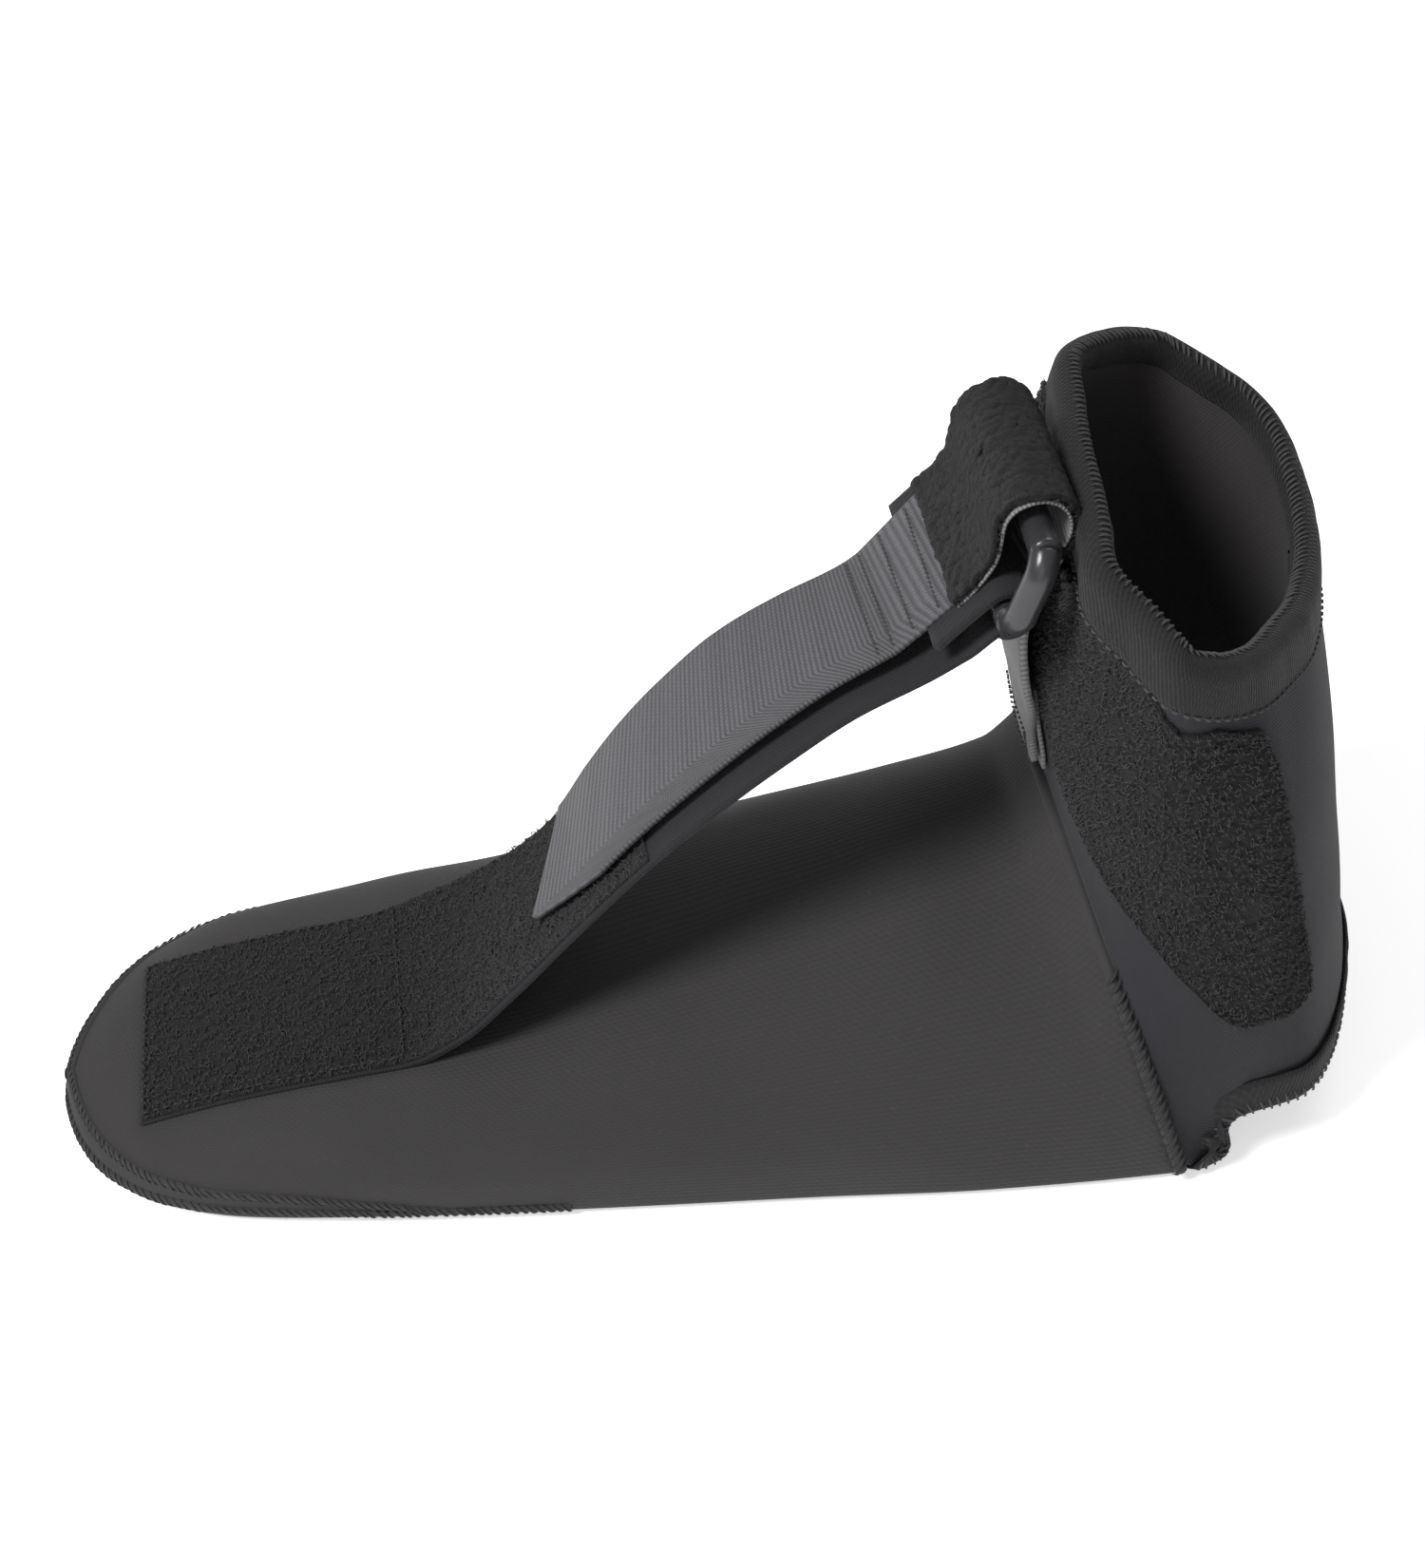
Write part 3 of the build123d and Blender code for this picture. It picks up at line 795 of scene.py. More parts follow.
cuffLining = clothGrid("cuffLining", 240, 60, cuffInside, (0.38, 0.14), closed=True, inward=axisPoint)
dress(cuffLining, finishes["liningKnit"])
thicken(cuffLining, 0.9)
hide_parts("cuff_lining")
bendAtAnkle(cuffLining)
print("cuff laid")

# seams and edge bindings

binding = {"rows": 28, "pucker": 0.24, "puckerSize": 5.0, "thick": 0.7}


def edgeTape(name, frames, profile, span, closed=False):
    # tape folded over an edge: frames give (point, outward, into the cloth), profile gives (out, into)
    count = len(frames)

    def place(u, w):
        f = u * (count if closed else count - 1)
        i = int(f) if closed else min(int(f), count - 2)
        f -= i
        a, b = frames[i % count], frames[(i + 1) % count]
        point, out, into = (a[k].lerp(b[k], f) for k in range(3))
        shape = bow([(q[0], q[1], 0.0) for q in profile], w)
        grain = point / binding["puckerSize"]
        fluff = binding["pucker"] * noise.noise(grain + Vector((w * 3.0, 0, 0)))
        return point + out * (shape.x + fluff) + into * shape.y

    return clothGrid(name, count, binding["rows"], place, span, closed=closed)


def faceOutwards(obj, frames):  # turn the outer side of a binding away from the cloth
    mesh = obj.data
    total = 0.0
    step = max(1, len(mesh.polygons) // 400)
    for poly in list(mesh.polygons)[::step]:
        center = poly.center / mm
        near = min(frames, key=lambda q: (q[0] - center).length_squared)
        middle = near[0] + near[2] * 4.0 - near[1] * 2.0
        total += poly.normal.dot(center - middle)
    if total < 0:
        mesh.flip_normals()


rim = {
    "frames": 260, "whipPitch": 1.75, "whipReach": 1.7, "runPitch": 2.3,
    "profile": [
        (0.5, 11.0), (1.1, 9.6), (1.15, 6.0), (1.0, 2.5), (0.7, 0.6), (-0.2, -1.2),
        (-1.8, -2.2), (-3.6, -1.9), (-5.0, -0.4), (-5.3, 1.8), (-4.9, 4.4), (-4.3, 5.6),
    ],
}
rimFrames = []
for k in range(rim["frames"]):
    u = k / rim["frames"]
    a, b, c = cuffPoint(u - 0.004, 1.0), cuffPoint(u + 0.004, 1.0), cuffPoint(u, 1.0)
    down = (cuffPoint(u, 0.93) - c).normalized()
    down = (down * 0.6 + Vector((0, 0, -1)) * 0.4).normalized()
    out = (b - a).cross(down).normalized()
    if out.dot(c - Vector((cuffForm["legMiddle"], 0, c.z))) < 0:
        out = -out
    rimFrames.append((c, out, down))
topBinding = edgeTape("topBinding", rimFrames, rim["profile"], (0.36, 0.03), closed=True)
faceOutwards(topBinding, rimFrames)
dress(topBinding, finishes["bindingKnit"])
thicken(topBinding, binding["thick"])
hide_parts("top_binding")
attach(topBinding, "cuff")


def resample(frames, pitch, closed=False):
    points = [q[0] for q in frames] + ([frames[0][0]] if closed else [])
    total = pathLength(points)
    count = max(int(total / pitch), 4)
    out, reach, i = [], 0.0, 0
    lengths = [0.0]
    for a, b in zip(points, points[1:]):
        lengths.append(lengths[-1] + (b - a).length)
    for k in range(count):
        want = total * (k + 0.5) / count
        while i < len(lengths) - 2 and lengths[i + 1] < want:
            i += 1
        f = (want - lengths[i]) / max(lengths[i + 1] - lengths[i], 1e-9)
        a, b = frames[i], frames[(i + 1) % len(frames)]
        out.append(tuple(a[n].lerp(b[n], f) for n in range(3)))
    return out


def shifted(frames, out, into):
    return [(p + o * out + d * into, o, d) for p, o, d in frames]


rimWhip = []
for point, out, down in resample(rimFrames, rim["whipPitch"], True):
    over = (-down * 0.85 - out * 0.5).normalized()
    across = (out * 0.85 - down * 0.5).normalized()
    rimWhip.append((point - out * 3.4 - down * 1.9, over, across))
rimStitches = strokeMesh("rimWhipStitches", whip(rimWhip, rim["whipPitch"], rim["whipReach"], 0.45), 0.34)
dress(rimStitches, finishes["greyThread"])
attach(rimStitches, "cuff")
runFrames = resample(shifted(rimFrames, 1.0, 10.4), rim["runPitch"], True)
runLine = []
for (point, out, down), (after, afterOut, afterDown) in zip(runFrames, runFrames[1:] + runFrames[:1]):
    gap = after - point
    if gap.length > 6:
        continue
    lift = out * 0.35
    runLine.append([point, point + gap * 0.25 + lift, point + gap * 0.55 + lift, point + gap * 0.8])
rimRun = strokeMesh("rimRunningStitches", runLine, 0.33)
dress(rimRun, finishes["greyThread"])
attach(rimRun, "cuff")

heel = {
    "fromU": 0.262, "toU": 0.738, "whipPitch": 2.1, "whipReach": 2.3,
    "profile": [
        (0.3, 9.4), (1.0, 8.4), (1.15, 5.0), (1.1, 2.0), (0.7, 0.0), (-0.4, -1.2),
        (-1.8, -1.5), (-3.3, -1.1), (-4.6, 0.3), (-4.9, 2.5), (-4.4, 6.0), (-4.2, 7.6),
    ],
}
heelFrames = []
for k in range(len(edgeLine)):
    p, q = edgeLine[k - 1], edgeLine[(k + 1) % len(edgeLine)]
    c = edgeLine[k]
    u = k / len(edgeLine)
    if not heel["fromU"] <= u <= heel["toU"]:
        continue
    behind = (c.x - 20.0) * 0.9 if c.x >= 45 else 0.0
    out = Vector((behind, c.y, 0)).normalized()
    along = (q - p).normalized()
    into = out.cross(along).normalized()
    out = along.cross(into).normalized()
    heelFrames.append((c, out, into))
heelBinding = edgeTape("heelBinding", heelFrames, heel["profile"], (0.26, 0.028))
faceOutwards(heelBinding, heelFrames)
dress(heelBinding, finishes["bindingKnit"])
thicken(heelBinding, binding["thick"])
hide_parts("heel_binding")
bendAtAnkle(heelBinding)
heelWhip = []
for point, out, into in resample(heelFrames, heel["whipPitch"]):
    heelWhip.append((point + into * 1.6 + out * 0.9, out, into))
heelStitches = strokeMesh("heelWhipStitches", whip(heelWhip, heel["whipPitch"], heel["whipReach"], 0.45), 0.34)
dress(heelStitches, finishes["greyThread"])
bendAtAnkle(heelStitches)
print("edges bound")


ankleSeam = {"inset": 0.6, "cord": 1.5, "pitch": 2.3, "reach": 2.2, "stitchTop": 50.0}


def footSeamPoint(turn):
    return footPoint(seamFloorX - ankleSeam["inset"], turn)


for side, sign in (("Near", 1), ("Far", -1)):
    frames = []
    for k in range(90):
        turn = 0.5 - 0.498 * k / 89
        turn = turn if sign > 0 else 1 - turn
        p = footSeamPoint(turn)
        out = (p - Vector((p.x, 0, p.z * 0.35))).normalized()
        frames.append((p, out, Vector((1, 0, 0.34)).normalized()))
    cord = []
    for p, out, across in frames:
        show = smooth((62.0 - p.z) / 26.0)
        cord.append(p + out * (-1.2 + 1.4 * show))
    rope = strokeMesh("ankleCord" + side, [cord], ankleSeam["cord"], sides=10, taper=False)
    dress(rope, finishes["sleeveKnit"])
    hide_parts("ankle_seam_" + side.lower())
    bendAtAnkle(rope)
    low = [q for q in resample(frames, ankleSeam["pitch"]) if q[0].z < ankleSeam["stitchTop"]]
    crossing = [(p + out * 0.25, out, across) for p, out, across in low]
    sewing = whip(crossing, ankleSeam["pitch"], ankleSeam["reach"], 1.5, lean=0.8)
    stitches = strokeMesh("ankleStitches" + side, sewing, 0.38)
    dress(stitches, finishes["darkThread"])
    bendAtAnkle(stitches)


toeSeam = {"heights": (6.6, 2.6), "rearX": -112.0, "reach": 108.6, "tipX": -190.0, "ridge": 0.95, "pitch": 1.9}


def toeLine(height):  # line round the toe at a height that falls to the floor further back
    frames = []
    spots = []
    for k in range(60):
        spots.append((toeSeam["rearX"] - toeSeam["reach"] * smooth(k / 59) ** 0.85, -1))
    for k in range(60):
        spots.append((toeSeam["rearX"] - toeSeam["reach"] * smooth((59 - k) / 59) ** 0.85, 1))
    for x, side in spots:
        fade = smooth((-x - 118.0) / 60.0)
        want = 1.0 + height * fade
        low, high = 0.0, 0.5
        for step in range(18):
            mid = (low + high) / 2
            if footPoint(x, mid).z < want:
                low = mid
            else:
                high = mid
        turn = low if side < 0 else 1 - low
        p = footPoint(x, turn)
        inner = Vector((p.x, 0.0, p.z * 0.4))
        if p.x < toeSeam["tipX"]:
            inner = Vector((max(p.x + 14.0, toeSeam["tipX"]), p.y * 0.55, p.z * 0.4))
        out = (p - inner).normalized()
        frames.append((p, out, Vector((0, 0, 1))))
    return frames


toeRows = []
for height in toeSeam["heights"]:
    toeRows.append([p - out * 0.3 for p, out, across in toeLine(height)])
toeRidge = strokeMesh("toeSeamRidges", toeRows, toeSeam["ridge"], sides=10, taper=False)
dress(toeRidge, finishes["sleeveKnit"])
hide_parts("toe_seam")
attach(toeRidge, "foot")
toeWhip = []
for height in toeSeam["heights"]:
    for point, out, across in resample(toeLine(height), toeSeam["pitch"]):
        up = (across - out * across.dot(out)).normalized()
        toeWhip.append((point + out * 0.35, out, up))
toeStitches = strokeMesh("toeOverlockStitches", whip(toeWhip, toeSeam["pitch"], 1.3, 0.3, lean=0.7), 0.3)
dress(toeStitches, finishes["darkThread"])
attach(toeStitches, "foot")

# the sole edge runs forward on the near side, round the toe and back on the far side
soleEdge = {"rearX": 29.0, "run": 245.0, "toeX": -216.0, "toeBow": 3.0, "sideShare": 0.42, "toeShare": 0.16}
soleFrames = []
for k in range(200):
    t = k / 199
    toeAngle = math.pi * (t - soleEdge["sideShare"]) / soleEdge["toeShare"]
    if t < soleEdge["sideShare"]:
        x, side = soleEdge["rearX"] - soleEdge["run"] * t / soleEdge["sideShare"], -1
    elif t > 1 - soleEdge["sideShare"]:
        x, side = soleEdge["rearX"] - soleEdge["run"] * (1 - t) / soleEdge["sideShare"], 1
    else:
        x, side = soleEdge["toeX"] - soleEdge["toeBow"] * math.sin(toeAngle), 0
    half, high, square, shift = stationAt(min(x, 22.0))
    half -= 2.2 + 3.0 * smooth((x - 18.0) / 12.0)
    y = side * half if side else -half * math.cos(toeAngle)
    soleFrames.append(Vector((x, y + shift, 0.6)))
soleLine = evenPath(soleFrames, 260, dense=2)
soleCord = strokeMesh("soleBinding", [soleLine], 0.75, sides=8, taper=False)
dress(soleCord, finishes["bindingKnit"])
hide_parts("sole_binding")
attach(soleCord, "foot")


insoleForm = {"toeX": -214.0, "length": 238.0, "inset": 6.5, "height": 4.2}


def insolePoint(u, w):
    x = insoleForm["toeX"] + u * insoleForm["length"]
    half, high, square, shift = stationAt(min(x, 22.0))
    return Vector((x, shift + (2 * w - 1) * (half - insoleForm["inset"]), insoleForm["height"]))


def underneath(center):
    return Vector((center.x, center.y, 0.0))


insole = clothGrid("soleLining", 120, 50, insolePoint, (0.24, 0.11), inward=underneath)
dress(insole, finishes["liningKnit"])
thicken(insole, 1.0)
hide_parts("sole_lining")
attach(insole, "foot")

insideSeams = []
for u in (0.5, 0.93):
    run = []
    for k in range(60):
        p = cuffInside(u, 0.04 + 0.9 * k / 59)
        run.append(p - (p - Vector((24, 0, p.z))).normalized())
    insideSeams.append(run)
backSeam = strokeMesh("cuffInsideSeams", insideSeams, 1.1, sides=8, taper=False)
dress(backSeam, finishes["liningKnit"])
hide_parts("cuff_back_seam")
bendAtAnkle(backSeam)
print("seams sewn")

# loop patches on the cuff

patch = {"cols": 150, "rows": 150, "lift": 0.9, "nap": 0.75, "napSize": 1.7, "curls": 5200, "curl": 0.85}
patchSides = {
    "left": [(0.036, 0.80), (0.010, 0.76), (0.006, 0.59), (0.010, 0.40), (0.030, 0.24), (0.046, 0.14)],
    "top": [
        (0.036, 0.80), (0.060, 0.87), (0.098, 0.925), (0.138, 0.895), (0.188, 0.850), (0.240, 0.892), (0.290, 0.894),
    ],
    "right": [(0.290, 0.894), (0.322, 0.76), (0.337, 0.57), (0.353, 0.36), (0.360, 0.255)],
    "bottom": [
        (0.046, 0.14), (0.079, 0.135), (0.112, 0.175), (0.160, 0.245),
        (0.206, 0.290), (0.267, 0.315), (0.325, 0.222), (0.360, 0.255),
    ],
}


def spread(sides, s, t):  # surface spanned by four bounding lines
    def at(key, f):
        return bow([(a, b, 0.0) for a, b in sides[key]], f)

    left, right, top, bottom = at("left", t), at("right", t), at("top", s), at("bottom", s)
    c00, c10, c01, c11 = at("top", 0), at("top", 1), at("bottom", 0), at("bottom", 1)
    q = left * (1 - s) + right * s + top * (1 - t) + bottom * t
    return q - (c00 * (1 - s) * (1 - t) + c10 * s * (1 - t) + c01 * (1 - s) * t + c11 * s * t)


def pileCurls(name, base, count, size, seed, radius=0.11):
    # short loose fibre loops standing on a tufted sheet
    rng = random.Random(seed)
    mesh = base.data
    faces = list(mesh.polygons)
    weights = []
    total = 0.0
    for poly in faces:
        total += poly.area
        weights.append(total)
    strokes = []
    for face in rng.choices(faces, cum_weights=weights, k=count):
        p = face.center / mm
        n = face.normal
        a = n.orthogonal().normalized()
        b = n.cross(a)
        turn = rng.uniform(0, 2 * math.pi)
        along = a * math.cos(turn) + b * math.sin(turn)
        side = n.cross(along)
        reach = size * rng.uniform(0.6, 1.3)
        tall = size * rng.uniform(0.5, 1.2)
        twist = rng.uniform(-0.6, 0.6) * size
        strokes.append([
            p - along * reach * 0.5 - n * 0.3,
            p - along * reach * 0.4 + n * tall * 0.75 + side * twist * 0.3,
            p + along * reach * 0.1 + n * tall + side * twist,
            p + along * reach * 0.5 + n * tall * 0.4 + side * twist * 0.6,
            p + along * reach * 0.45 - n * 0.2,
        ])
    return strokeMesh(name, strokes, radius, sides=3, taper=False)


loopPatches, patchCurls = {}, {}
for side in ("Near", "Far"):
    def patchPlace(s, t, far=side == "Far"):
        q = spread(patchSides, s, t)
        u = 1 - q.x if far else q.x
        p = cuffPoint(u, q.y)
        out = Vector((p.x - 24.0, p.y * 0.9, 0)).normalized()
        return p + softCloth(p, cuffCloth["waveSize"], cuffCloth["wave"]) * 0.8 + out * patch["lift"]

    sheet = clothGrid(
        "loopPatch" + side, patch["cols"], patch["rows"], patchPlace, (0.085, 0.085),
        inward=axisPoint, nap=patch["nap"], napSize=patch["napSize"])
    dress(sheet, finishes["loopPile"])
    thicken(sheet, 1.2)
    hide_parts(side.lower() + "_loop_patch")
    bendAtAnkle(sheet)
    curls = pileCurls("loopPatchCurls" + side, sheet, patch["curls"], patch["curl"], 11 if side == "Near" else 12)
    dress(curls, finishes["pileFibre"])
    bendAtAnkle(curls)
    loopPatches[side], patchCurls[side] = sheet, curls
    edge = []
    for k in range(200):
        f = k / 200 * 4
        s, t = ((f, 0), (1, f - 1), (3 - f, 1), (0, 4 - f))[int(f)]
        edge.append(patchPlace(0.02 + 0.96 * s, 0.02 + 0.96 * t))
    border = evenPath(edge, 150, closed=True, dense=2)
    dashes = []
    for a, b in zip(border, border[1:] + border[:1]):
        out = Vector((a.x - 24.0, a.y * 0.9, 0)).normalized()
        dashes.append([a + out * 0.4, a.lerp(b, 0.35) + out * 0.9, a.lerp(b, 0.7) + out * 0.4])
    rows = strokeMesh("loopPatchStitches" + side, dashes, 0.3)
    dress(rows, finishes["darkThread"])
    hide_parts(side.lower() + "_patch_stitching")
    bendAtAnkle(rows)
print("loop patches sewn on")

# toe strap, hook tape and ring

ringLow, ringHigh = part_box("strap_ring")
barRadius = 3.0
strap = {
    "nearY": -25.0, "farY": 23.5, "thick": 1.7, "nap": 0.55, "napSize": 1.5,
    # height of the near and far edges along the foot
    "near": [
        (-206.0, 13.8), (-181.9, 16.6), (-150.8, 21.1), (-133.8, 29.1), (-120.8, 42.5), (-108.1, 57.5),
        (-91.8, 75.5), (-78.0, 88.5), (-62.6, 101.5), (-49.4, 111.5), (-34.5, 119.5), (-27.0, 124.2),
    ],
    "far": [
        (-206.0, 14.9), (-181.3, 19.5), (-159.4, 22.6), (-139.6, 27.6), (-121.8, 35.7),
        (-110.6, 44.5), (-104.0, 52.0), (-97.2, 64.0), (-90.0, 75.0), (-82.3, 84.5),
        (-69.9, 96.5), (-55.8, 104.6), (-41.7, 111.0), (-34.5, 116.6), (-27.0, 124.2),
    ],
    "start": -203.5, "end": -27.0,
    "barLow": (ringLow.x / mm + barRadius, ringLow.z / mm + barRadius),
    "barHigh": (ringHigh.x / mm - barRadius, ringHigh.z / mm - barRadius),
    "loop": 4.3, "loopShare": 0.16, "tail": ((-26.6, 131.6), (-33.0, 125.0)),
}
nearAt = Table(strap["near"], 0.5)
farAt = Table(strap["far"], 0.5)


def footTop(x, y):  # height of the foot sleeve over a point
    floorX = x
    z = 0.0
    for step in range(3):
        half, high, square, shift = stationAt(floorX)
        inside = max(1 - (abs(y - shift) / half) ** square, 0.0)
        z = 2.6 + (high - 2.6) * inside ** (1 / square)
        share = (floorX - footForm["toeX"]) / (seamFloorX - footForm["toeX"])
        floorX = x - share * (seamX(z) - seamFloorX)
    return z


def strapHeight(x, v):
    y = strap["nearY"] + (strap["farY"] - strap["nearY"]) * v
    lifted = nearAt(x)[0] * (1 - v) + farAt(x)[0] * v
    rise = smooth((x + 156.0) / 22.0)
    if rise == 1.0:
        return lifted
    sewn = footTop(x, y) + 1.3
    return sewn + (lifted - sewn) * rise


strapXs = []
mid = [Vector((strap["start"] + (strap["end"] - strap["start"]) * k / 300, 0, 0)) for k in range(301)]
for q in mid:
    q.z = strapHeight(q.x, 0.5)
for q in evenPath(mid, 200, dense=1):
    strapXs.append(q.x)


def strapX(u):
    f = min(max(u, 0.0), 1.0) * (len(strapXs) - 1)
    i = min(int(f), len(strapXs) - 2)
    return strapXs[i] + (strapXs[i + 1] - strapXs[i]) * (f - i)


def strapSpot(x, v, rise=0.0):
    y = strap["nearY"] + (strap["farY"] - strap["nearY"]) * v
    p = Vector((x, y, strapHeight(x, v)))
    if rise:
        ahead = Vector((x + 0.5, y, strapHeight(x + 0.5, v))) - Vector((x - 0.5, y, strapHeight(x - 0.5, v)))
        p += Vector((-ahead.z, 0, ahead.x)).normalized() * rise
    return p


loopAngles = [math.radians(a) for a in (-122, -90, -60, -30, 0, 30, 60, 90, 115, 135)]


def toeStrapPoint(u, v):
    share = u * (1 + strap["loopShare"])  # the last part of the strap turns round the lower bar of the ring
    if share <= 1.0:
        return strapSpot(strapX(share), v)
    y = strap["nearY"] + (strap["farY"] - strap["nearY"]) * v
    f = (share - 1.0) / strap["loopShare"] * (len(loopAngles) + 2)
    cx, cz = strap["barLow"]
    line = [strapSpot(-30.0, v), strapSpot(-27.0, v)]
    line += [Vector((cx + strap["loop"] * math.cos(a), y, cz + strap["loop"] * math.sin(a))) for a in loopAngles]
    line += [Vector((x, y, z)) for x, z in strap["tail"]]
    return bow(line, (1.0 + f * (len(line) - 2) / (len(loopAngles) + 2)) / (len(line) - 1))


def strapUnderside(center):
    return Vector((center.x + 8.0, center.y, center.z - 12.0))


def pilePoint(u, v):
    return strapSpot(strapX(0.003 + 0.62 * u), 0.006 + 0.988 * v, 0.35)


toeStrap = clothGrid("toeStrap", 330, 64, toeStrapPoint, (0.32, 0.0485))
up = sum(1 if poly.normal.z > 0 else -1 for poly in list(toeStrap.data.polygons)[:4000])
if up < 0:
    toeStrap.data.flip_normals()
dress(toeStrap, finishes["strapBack"])
thicken(toeStrap, strap["thick"])
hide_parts("toe_strap")
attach(toeStrap, "foot")
strapPile = clothGrid(
    "toeStrapPile", 210, 74, pilePoint, (0.15, 0.0485),
    inward=strapUnderside, nap=strap["nap"], napSize=strap["napSize"])
dress(strapPile, finishes["loopPile"])
thicken(strapPile, 0.5)
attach(strapPile, "foot")
strapCurls = pileCurls("toeStrapCurls", strapPile, 6800, 0.8, 21)
dress(strapCurls, finishes["pileFibre"])
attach(strapCurls, "foot")

# the sewn border as four sides: where each starts, how far it runs and in how many steps
sewnSides = (
    (-202.3, 0.03, 57.0, 0.0, 60), (-145.3, 0.03, 0.0, 0.94, 30),
    (-145.3, 0.97, -57.0, 0.0, 60), (-202.3, 0.97, 0.0, -0.94, 30),
)
border = []
for x, v, runX, runV, steps in sewnSides:
    border += [strapSpot(x + runX * k / steps, v + runV * k / steps, 0.9) for k in range(steps)]
border = evenPath(border, 90, closed=True, dense=2)
dashes = [dash(a, b, Vector((0, 0, 0.35)), 0.3, 0.7) for a, b in zip(border, border[1:] + border[:1])]
strapStitches = strokeMesh("toeStrapStitches", dashes, 0.3)
dress(strapStitches, finishes["darkThread"])
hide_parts("toe_strap_stitching")
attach(strapStitches, "foot")
print("toe strap laid")

ringShape = {"halfY": 29.6, "radius": 3.1, "corner": 5.0}
ringPath = []
lowX, lowZ = strap["barLow"]
highX, highZ = strap["barHigh"]
rise = math.dist(strap["barLow"], strap["barHigh"])
lean = Vector(((highX - lowX) / rise, 0, (highZ - lowZ) / rise))
for cy, cs, first in ((1, 0, -90), (1, 1, 0), (-1, 1, 90), (-1, 0, 180)):
    for k in range(9):
        a = math.radians(first + 90 * k / 8)
        yy = cy * (ringShape["halfY"] - ringShape["corner"]) + ringShape["corner"] * math.cos(a)
        ss = (rise - ringShape["corner"] if cs else ringShape["corner"]) + ringShape["corner"] * math.sin(a)
        ringPath.append(Vector((lowX, yy, lowZ)) + lean * ss)
ringPath = evenPath(ringPath, 150, closed=True, dense=3)
ring = strokeMesh("strapRing", [ringPath], ringShape["radius"], sides=28, taper=False, closed=True)
dress(ring, finishes["ringPlastic"])
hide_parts("strap_ring")
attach(ring, "ring")

tape = {
    "nearY": -19.0, "farY": 19.0, "thick": 1.3, "end": (-28.3, 132.8),
    "gap": [(-118.0, 2.5), (-100.0, 2.6), (-78.0, 2.9), (-62.0, 3.6), (-49.0, 3.9), (-38.0, 4.6)],
    "tip": [(0.0, -99.0), (0.17, -113.0), (1.0, -104.0)],
    "leaveX": -38.0, "leaveRun": 9.7,  # where the tape leaves the strap, and how far on the turn starts
}
gapAt = Table(tape["gap"], 0.5)


turn = {"free": 6.1, "nearY": -20.5, "farY": 20.5, "start": (-28.9, 132.4), "knee": (-24.5, 137.8)}


def tapeSpot(x, v, rise=0.0):
    y = tape["nearY"] + (tape["farY"] - tape["nearY"]) * v
    strapV = (y - strap["nearY"]) / (strap["farY"] - strap["nearY"])
    along = min(x, tape["leaveX"])
    p = strapSpot(along, strapV, gapAt(along)[0])
    if x > tape["leaveX"]:
        before = tape["leaveX"] - 2.0
        q = strapSpot(before, strapV, gapAt(before)[0])
        end = Vector((tape["end"][0], y, tape["end"][1]))
        knee = Vector((turn["knee"][0], y, turn["knee"][1]))
        p = bow([q, p, end, knee], (1 + (x - tape["leaveX"]) / tape["leaveRun"]) / 3)
    if rise:
        ahead = tapeSpot(x + 0.5, v) - tapeSpot(x - 0.5, v)
        p += Vector((-ahead.z, 0, ahead.x)).normalized() * rise
    return p


def tapePoint(u, v):
    low = tape["tip"]
    if v < low[1][0]:
        first = low[0][1] + (low[1][1] - low[0][1]) * v / low[1][0]
    else:
        first = low[1][1] + (low[2][1] - low[1][1]) * (v - low[1][0]) / (1 - low[1][0])
    return tapeSpot(first + (tape["end"][0] - first) * u, v)


hookTape = clothGrid("hookTape", 220, 60, tapePoint, (0.128, 0.038), inward=strapUnderside)
dress(hookTape, finishes["hookWebbing"])
thicken(hookTape, tape["thick"], 0.0)
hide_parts("hook_tape")
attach(hookTape, "strap_tail")
tapeRows = []
for k in range(4):
    row = [tapeSpot(-31.0 - 3.4 * k, 0.03 + 0.94 * j / 22, 0.85) for j in range(23)]
    tapeRows += [dash(a, b, Vector((-0.3, 0, 0.3)), 0.35, 0.75) for a, b in zip(row, row[1:])]
tapeStitches = strokeMesh("tapeStitches", tapeRows, 0.34)
dress(tapeStitches, finishes["greyThread"])
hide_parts("tape_stitching")
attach(tapeStitches, "strap_tail")

def turnLine(rise):
    cx, cz = strap["barHigh"]
    line = [(turn["start"][0] - rise * 0.7, turn["start"][1] + rise * 0.7)]
    line += [(turn["knee"][0] - rise * 0.8, turn["knee"][1] + rise * 0.5), (-22.0 - rise, 143.0)]
    for angle in range(172, -40, -14):
        a = math.radians(angle)
        radius = turn["free"] + 1.1 + rise
        line.append((cx + radius * math.cos(a), cz + radius * math.sin(a)))
    return evenPath([(x, 0.0, z) for x, z in line], 90, dense=4)


def turnSheet(name, rise, cols, rows, nap, ragged):
    line = turnLine(rise)

    def place(u, v):
        f = u * (len(line) - 1)
        i = min(int(f), len(line) - 2)
        p = line[i].lerp(line[i + 1], f - i)
        wob = ragged * noise.noise(Vector((u * 9.0, 2.0 if v < 0.5 else 7.0, 0.3)))
        near, far = turn["nearY"] + wob, turn["farY"] + wob
        return Vector((p.x, near + (far - near) * v, p.z))

    def barMiddle(center):
        return Vector((strap["barHigh"][0], center.y, strap["barHigh"][1]))

    return clothGrid(name, cols, rows, place, (0.06, 0.041), inward=barMiddle, nap=nap)


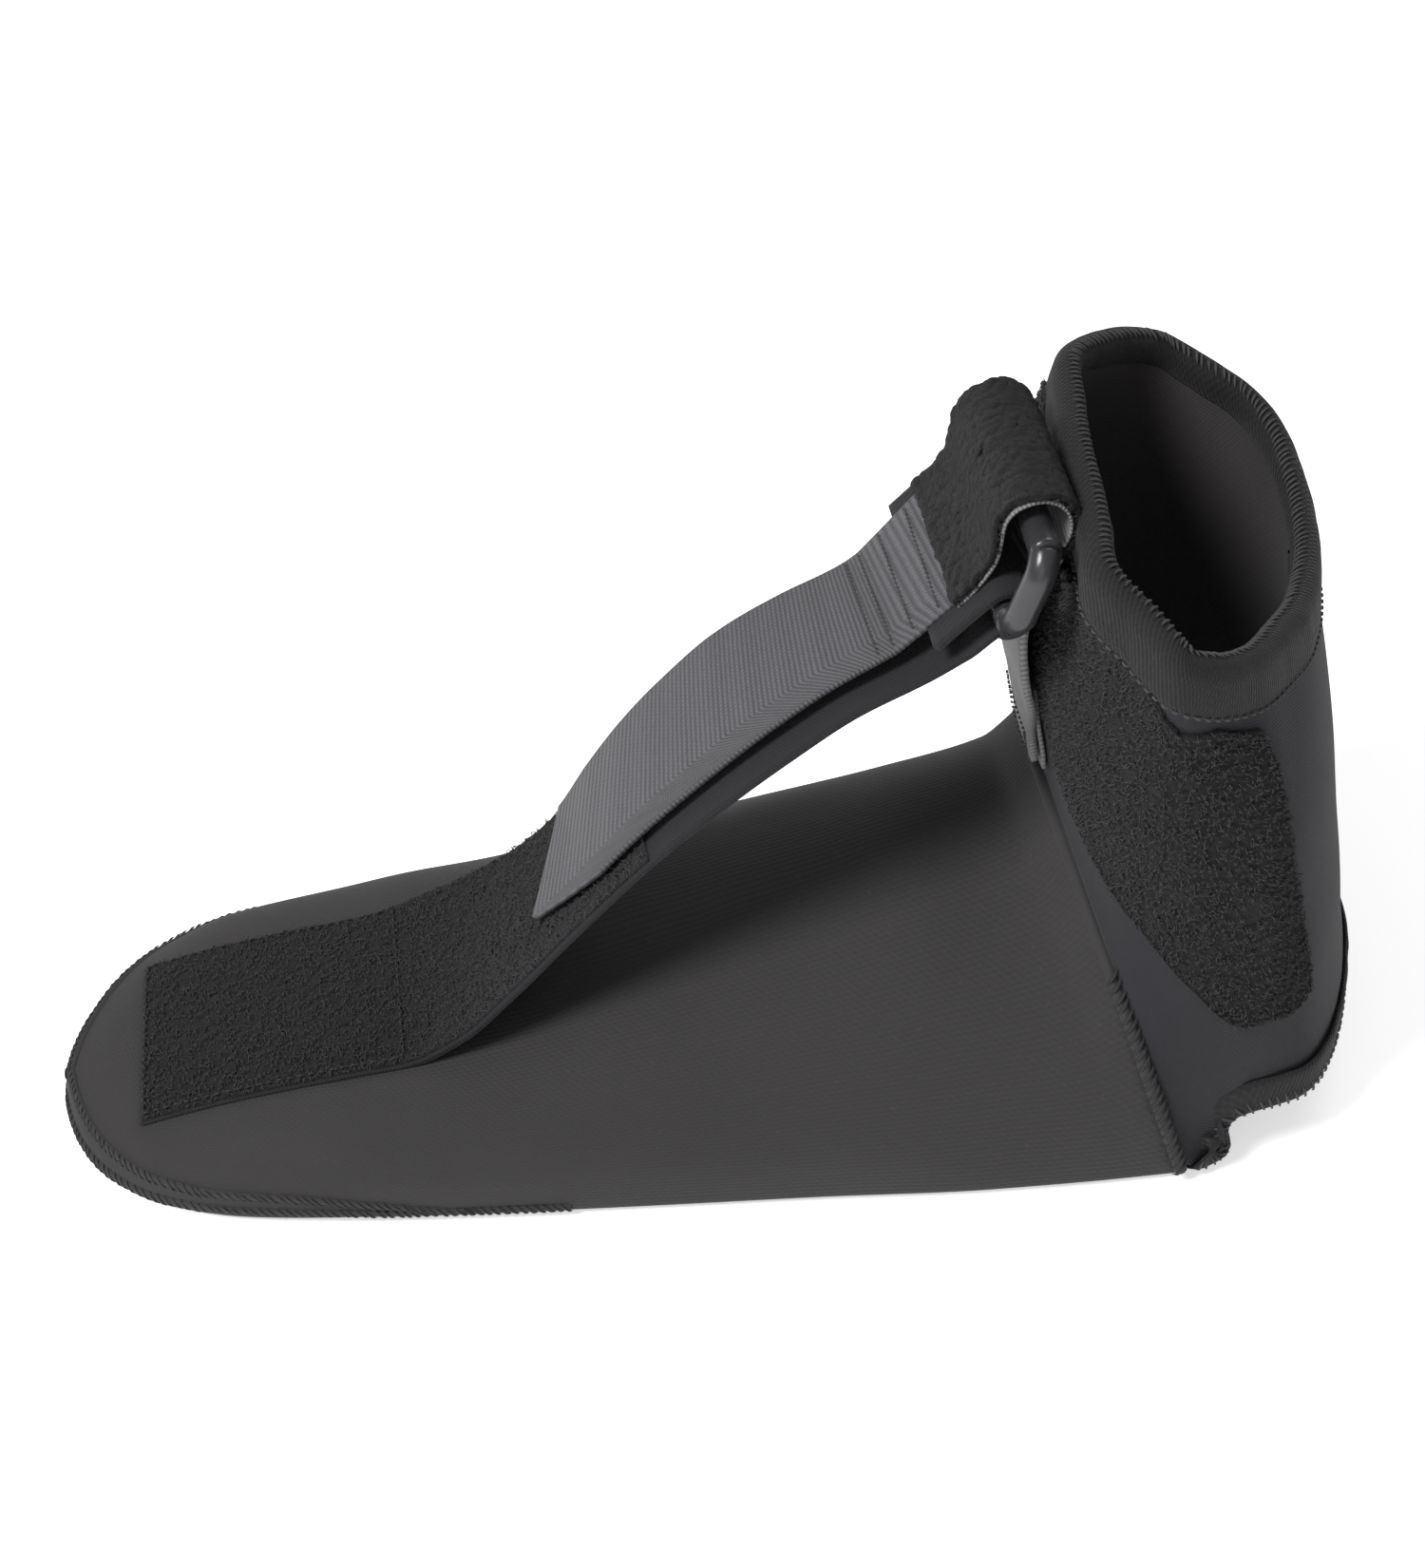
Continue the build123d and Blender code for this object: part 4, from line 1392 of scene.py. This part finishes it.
turnBack = turnSheet("liftStrapTurnBack", -0.75, 90, 40, 0.0, 0.3)
dress(turnBack, finishes["anchorWebbing"])
thicken(turnBack, 0.6)
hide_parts("lift_strap_turn")
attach(turnBack, "strap_tail")
turnPile = turnSheet("liftStrapTurnPile", 0.55, 110, 76, 0.8, 1.2)
dress(turnPile, finishes["loopPile"])
thicken(turnPile, 1.2)
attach(turnPile, "strap_tail")
turnCurls = pileCurls("liftStrapTurnCurls", turnPile, 3600, 1.0, 31)
dress(turnCurls, finishes["pileFibre"])
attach(turnCurls, "strap_tail")

leg = {
    "nearY": -18.5, "farY": 18.5, "footY": -6.0, "thick": 1.6,
    "sewnZ": (77.5, 84.0, 90.0),
    "free": ((-9.5, 97.5), (-12.6, 109.0), (-14.2, 121.0), (-12.6, 131.0), (-8.4, 140.5)),
}


def legPoint(u, v):
    near = leg["footY"] + (leg["nearY"] - leg["footY"]) * smooth((u - 0.1) / 0.6)
    y = near + (leg["farY"] - near) * v
    line = [Vector((cuffBow(y, z) - 2.6, y, z)) for z in leg["sewnZ"]]
    line += [Vector((x, y, z)) for x, z in leg["free"]]
    return bow(line, u)


bowRows = {}


def cuffBow(y, z):  # x of the front of the cuff at a height
    if z not in bowRows:
        bowRows[z] = [cuffPoint((k - 24) / 300, (z - 73.0) / 79.5) for k in range(49)]
    return min(bowRows[z], key=lambda q: abs(q.y - y)).x


def behindLeg(center):
    return Vector((30, center.y, center.z))


liftStrap = clothGrid("liftStrap", 90, 24, legPoint, (0.068, 0.037), inward=behindLeg)
dress(liftStrap, finishes["anchorWebbing"])
thicken(liftStrap, leg["thick"], 0.0)
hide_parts("lift_strap")
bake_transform(liftStrap)


anchorForm = {"nearY": -7.0, "width": 26.0, "lowZ": 76.0, "length": 22.0}


def anchorPoint(u, v):
    y = anchorForm["nearY"] + anchorForm["width"] * v
    z = anchorForm["lowZ"] + anchorForm["length"] * u
    return Vector((cuffBow(y, z) - 0.9, y, z))


anchor = clothGrid("strapAnchor", 30, 40, anchorPoint, (0.022, 0.038), inward=behindLeg)
dress(anchor, finishes["anchorWebbing"])
thicken(anchor, 0.9, 0.0)
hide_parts("strap_anchor")
bendAtAnkle(anchor)
box = [(0.06, 0.08), (0.06, 0.92), (0.55, 0.92), (0.55, 0.08)]  # corners as shares of the sewn end
sewnShare = 0.30
boxLine = []
for (a, b), (c, d) in zip(box, box[1:] + box[:1]):
    for k in range(12):
        u, v = a + (c - a) * k / 12, b + (d - b) * k / 12
        boxLine.append(legPoint(u * sewnShare, v) - Vector((1.0, 0, 0)))
dashes = [dash(a, b, Vector((-0.3, 0, 0)), 0.4, 0.75) for a, b in zip(boxLine, boxLine[1:] + boxLine[:1])]
anchorStitches = strokeMesh("anchorStitches", dashes, 0.3)
dress(anchorStitches, finishes["greyThread"])
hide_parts("anchor_stitching")
bendAtAnkle(anchorStitches)
print("straps and ring placed")
# light, floor and camera

view = {"azimuth": -7.75, "elevation": 41.0, "distance": 0.652, "target": (-0.0682, 0.0467, 0.033), "lens": 69.6}


def buildStudio():
    bpy.ops.mesh.primitive_plane_add(size=6.0, location=(0, 0, -0.0006))
    floor = bpy.context.object
    floor.name = "studioFloor"
    material, tree, shader = startMaterial("paleFloor", 0.9)
    shader.inputs["Base Color"].default_value = (0.93, 0.93, 0.93, 1)
    shader.inputs["Emission Color"].default_value = (1, 1, 1, 1)
    shader.inputs["Emission Strength"].default_value = 0.55
    floor.data.materials.append(material)
    world = bpy.data.worlds.new("studioSky")
    bpy.context.scene.world = world
    world.use_nodes = True
    world.node_tree.nodes["Background"].inputs["Color"].default_value = (1, 1, 1, 1)
    world.node_tree.nodes["Background"].inputs["Strength"].default_value = 0.30
    lamps = (
        ("keyLamp", (-1.05, -0.45, 1.3), 0.6, 27.0),
        ("fillLamp", (-0.5, -1.4, 0.7), 1.2, 3.0),
        ("backLamp", (0.7, 1.0, 1.5), 1.0, 8.0),
    )
    for name, place, size, power in lamps:
        data = bpy.data.lights.new(name, "AREA")
        data.shape = "DISK"
        data.size = size
        data.energy = power
        lamp = bpy.data.objects.new(name, data)
        bpy.context.scene.collection.objects.link(lamp)
        lamp.location = place
        aim = Vector((-0.05, 0, 0.05)) - Vector(place)
        lamp.rotation_euler = aim.to_track_quat("-Z", "Y").to_euler()


def buildCamera():
    data = bpy.data.cameras.new("studioCamera")
    camera = bpy.data.objects.new("studioCamera", data)
    bpy.context.scene.collection.objects.link(camera)
    az, el = math.radians(view["azimuth"]), math.radians(view["elevation"])
    back = Vector((math.sin(az) * math.cos(el), -math.cos(az) * math.cos(el), math.sin(el)))
    camera.location = Vector(view["target"]) + back * view["distance"]
    camera.rotation_euler = (-back).to_track_quat("-Z", "Y").to_euler()
    data.sensor_fit = "HORIZONTAL"
    data.sensor_width = 36.0
    data.lens = view["lens"]
    data.clip_start = 0.01
    bpy.context.scene.camera = camera


buildStudio()
buildCamera()
bpy.context.scene.view_settings.view_transform = "Standard"
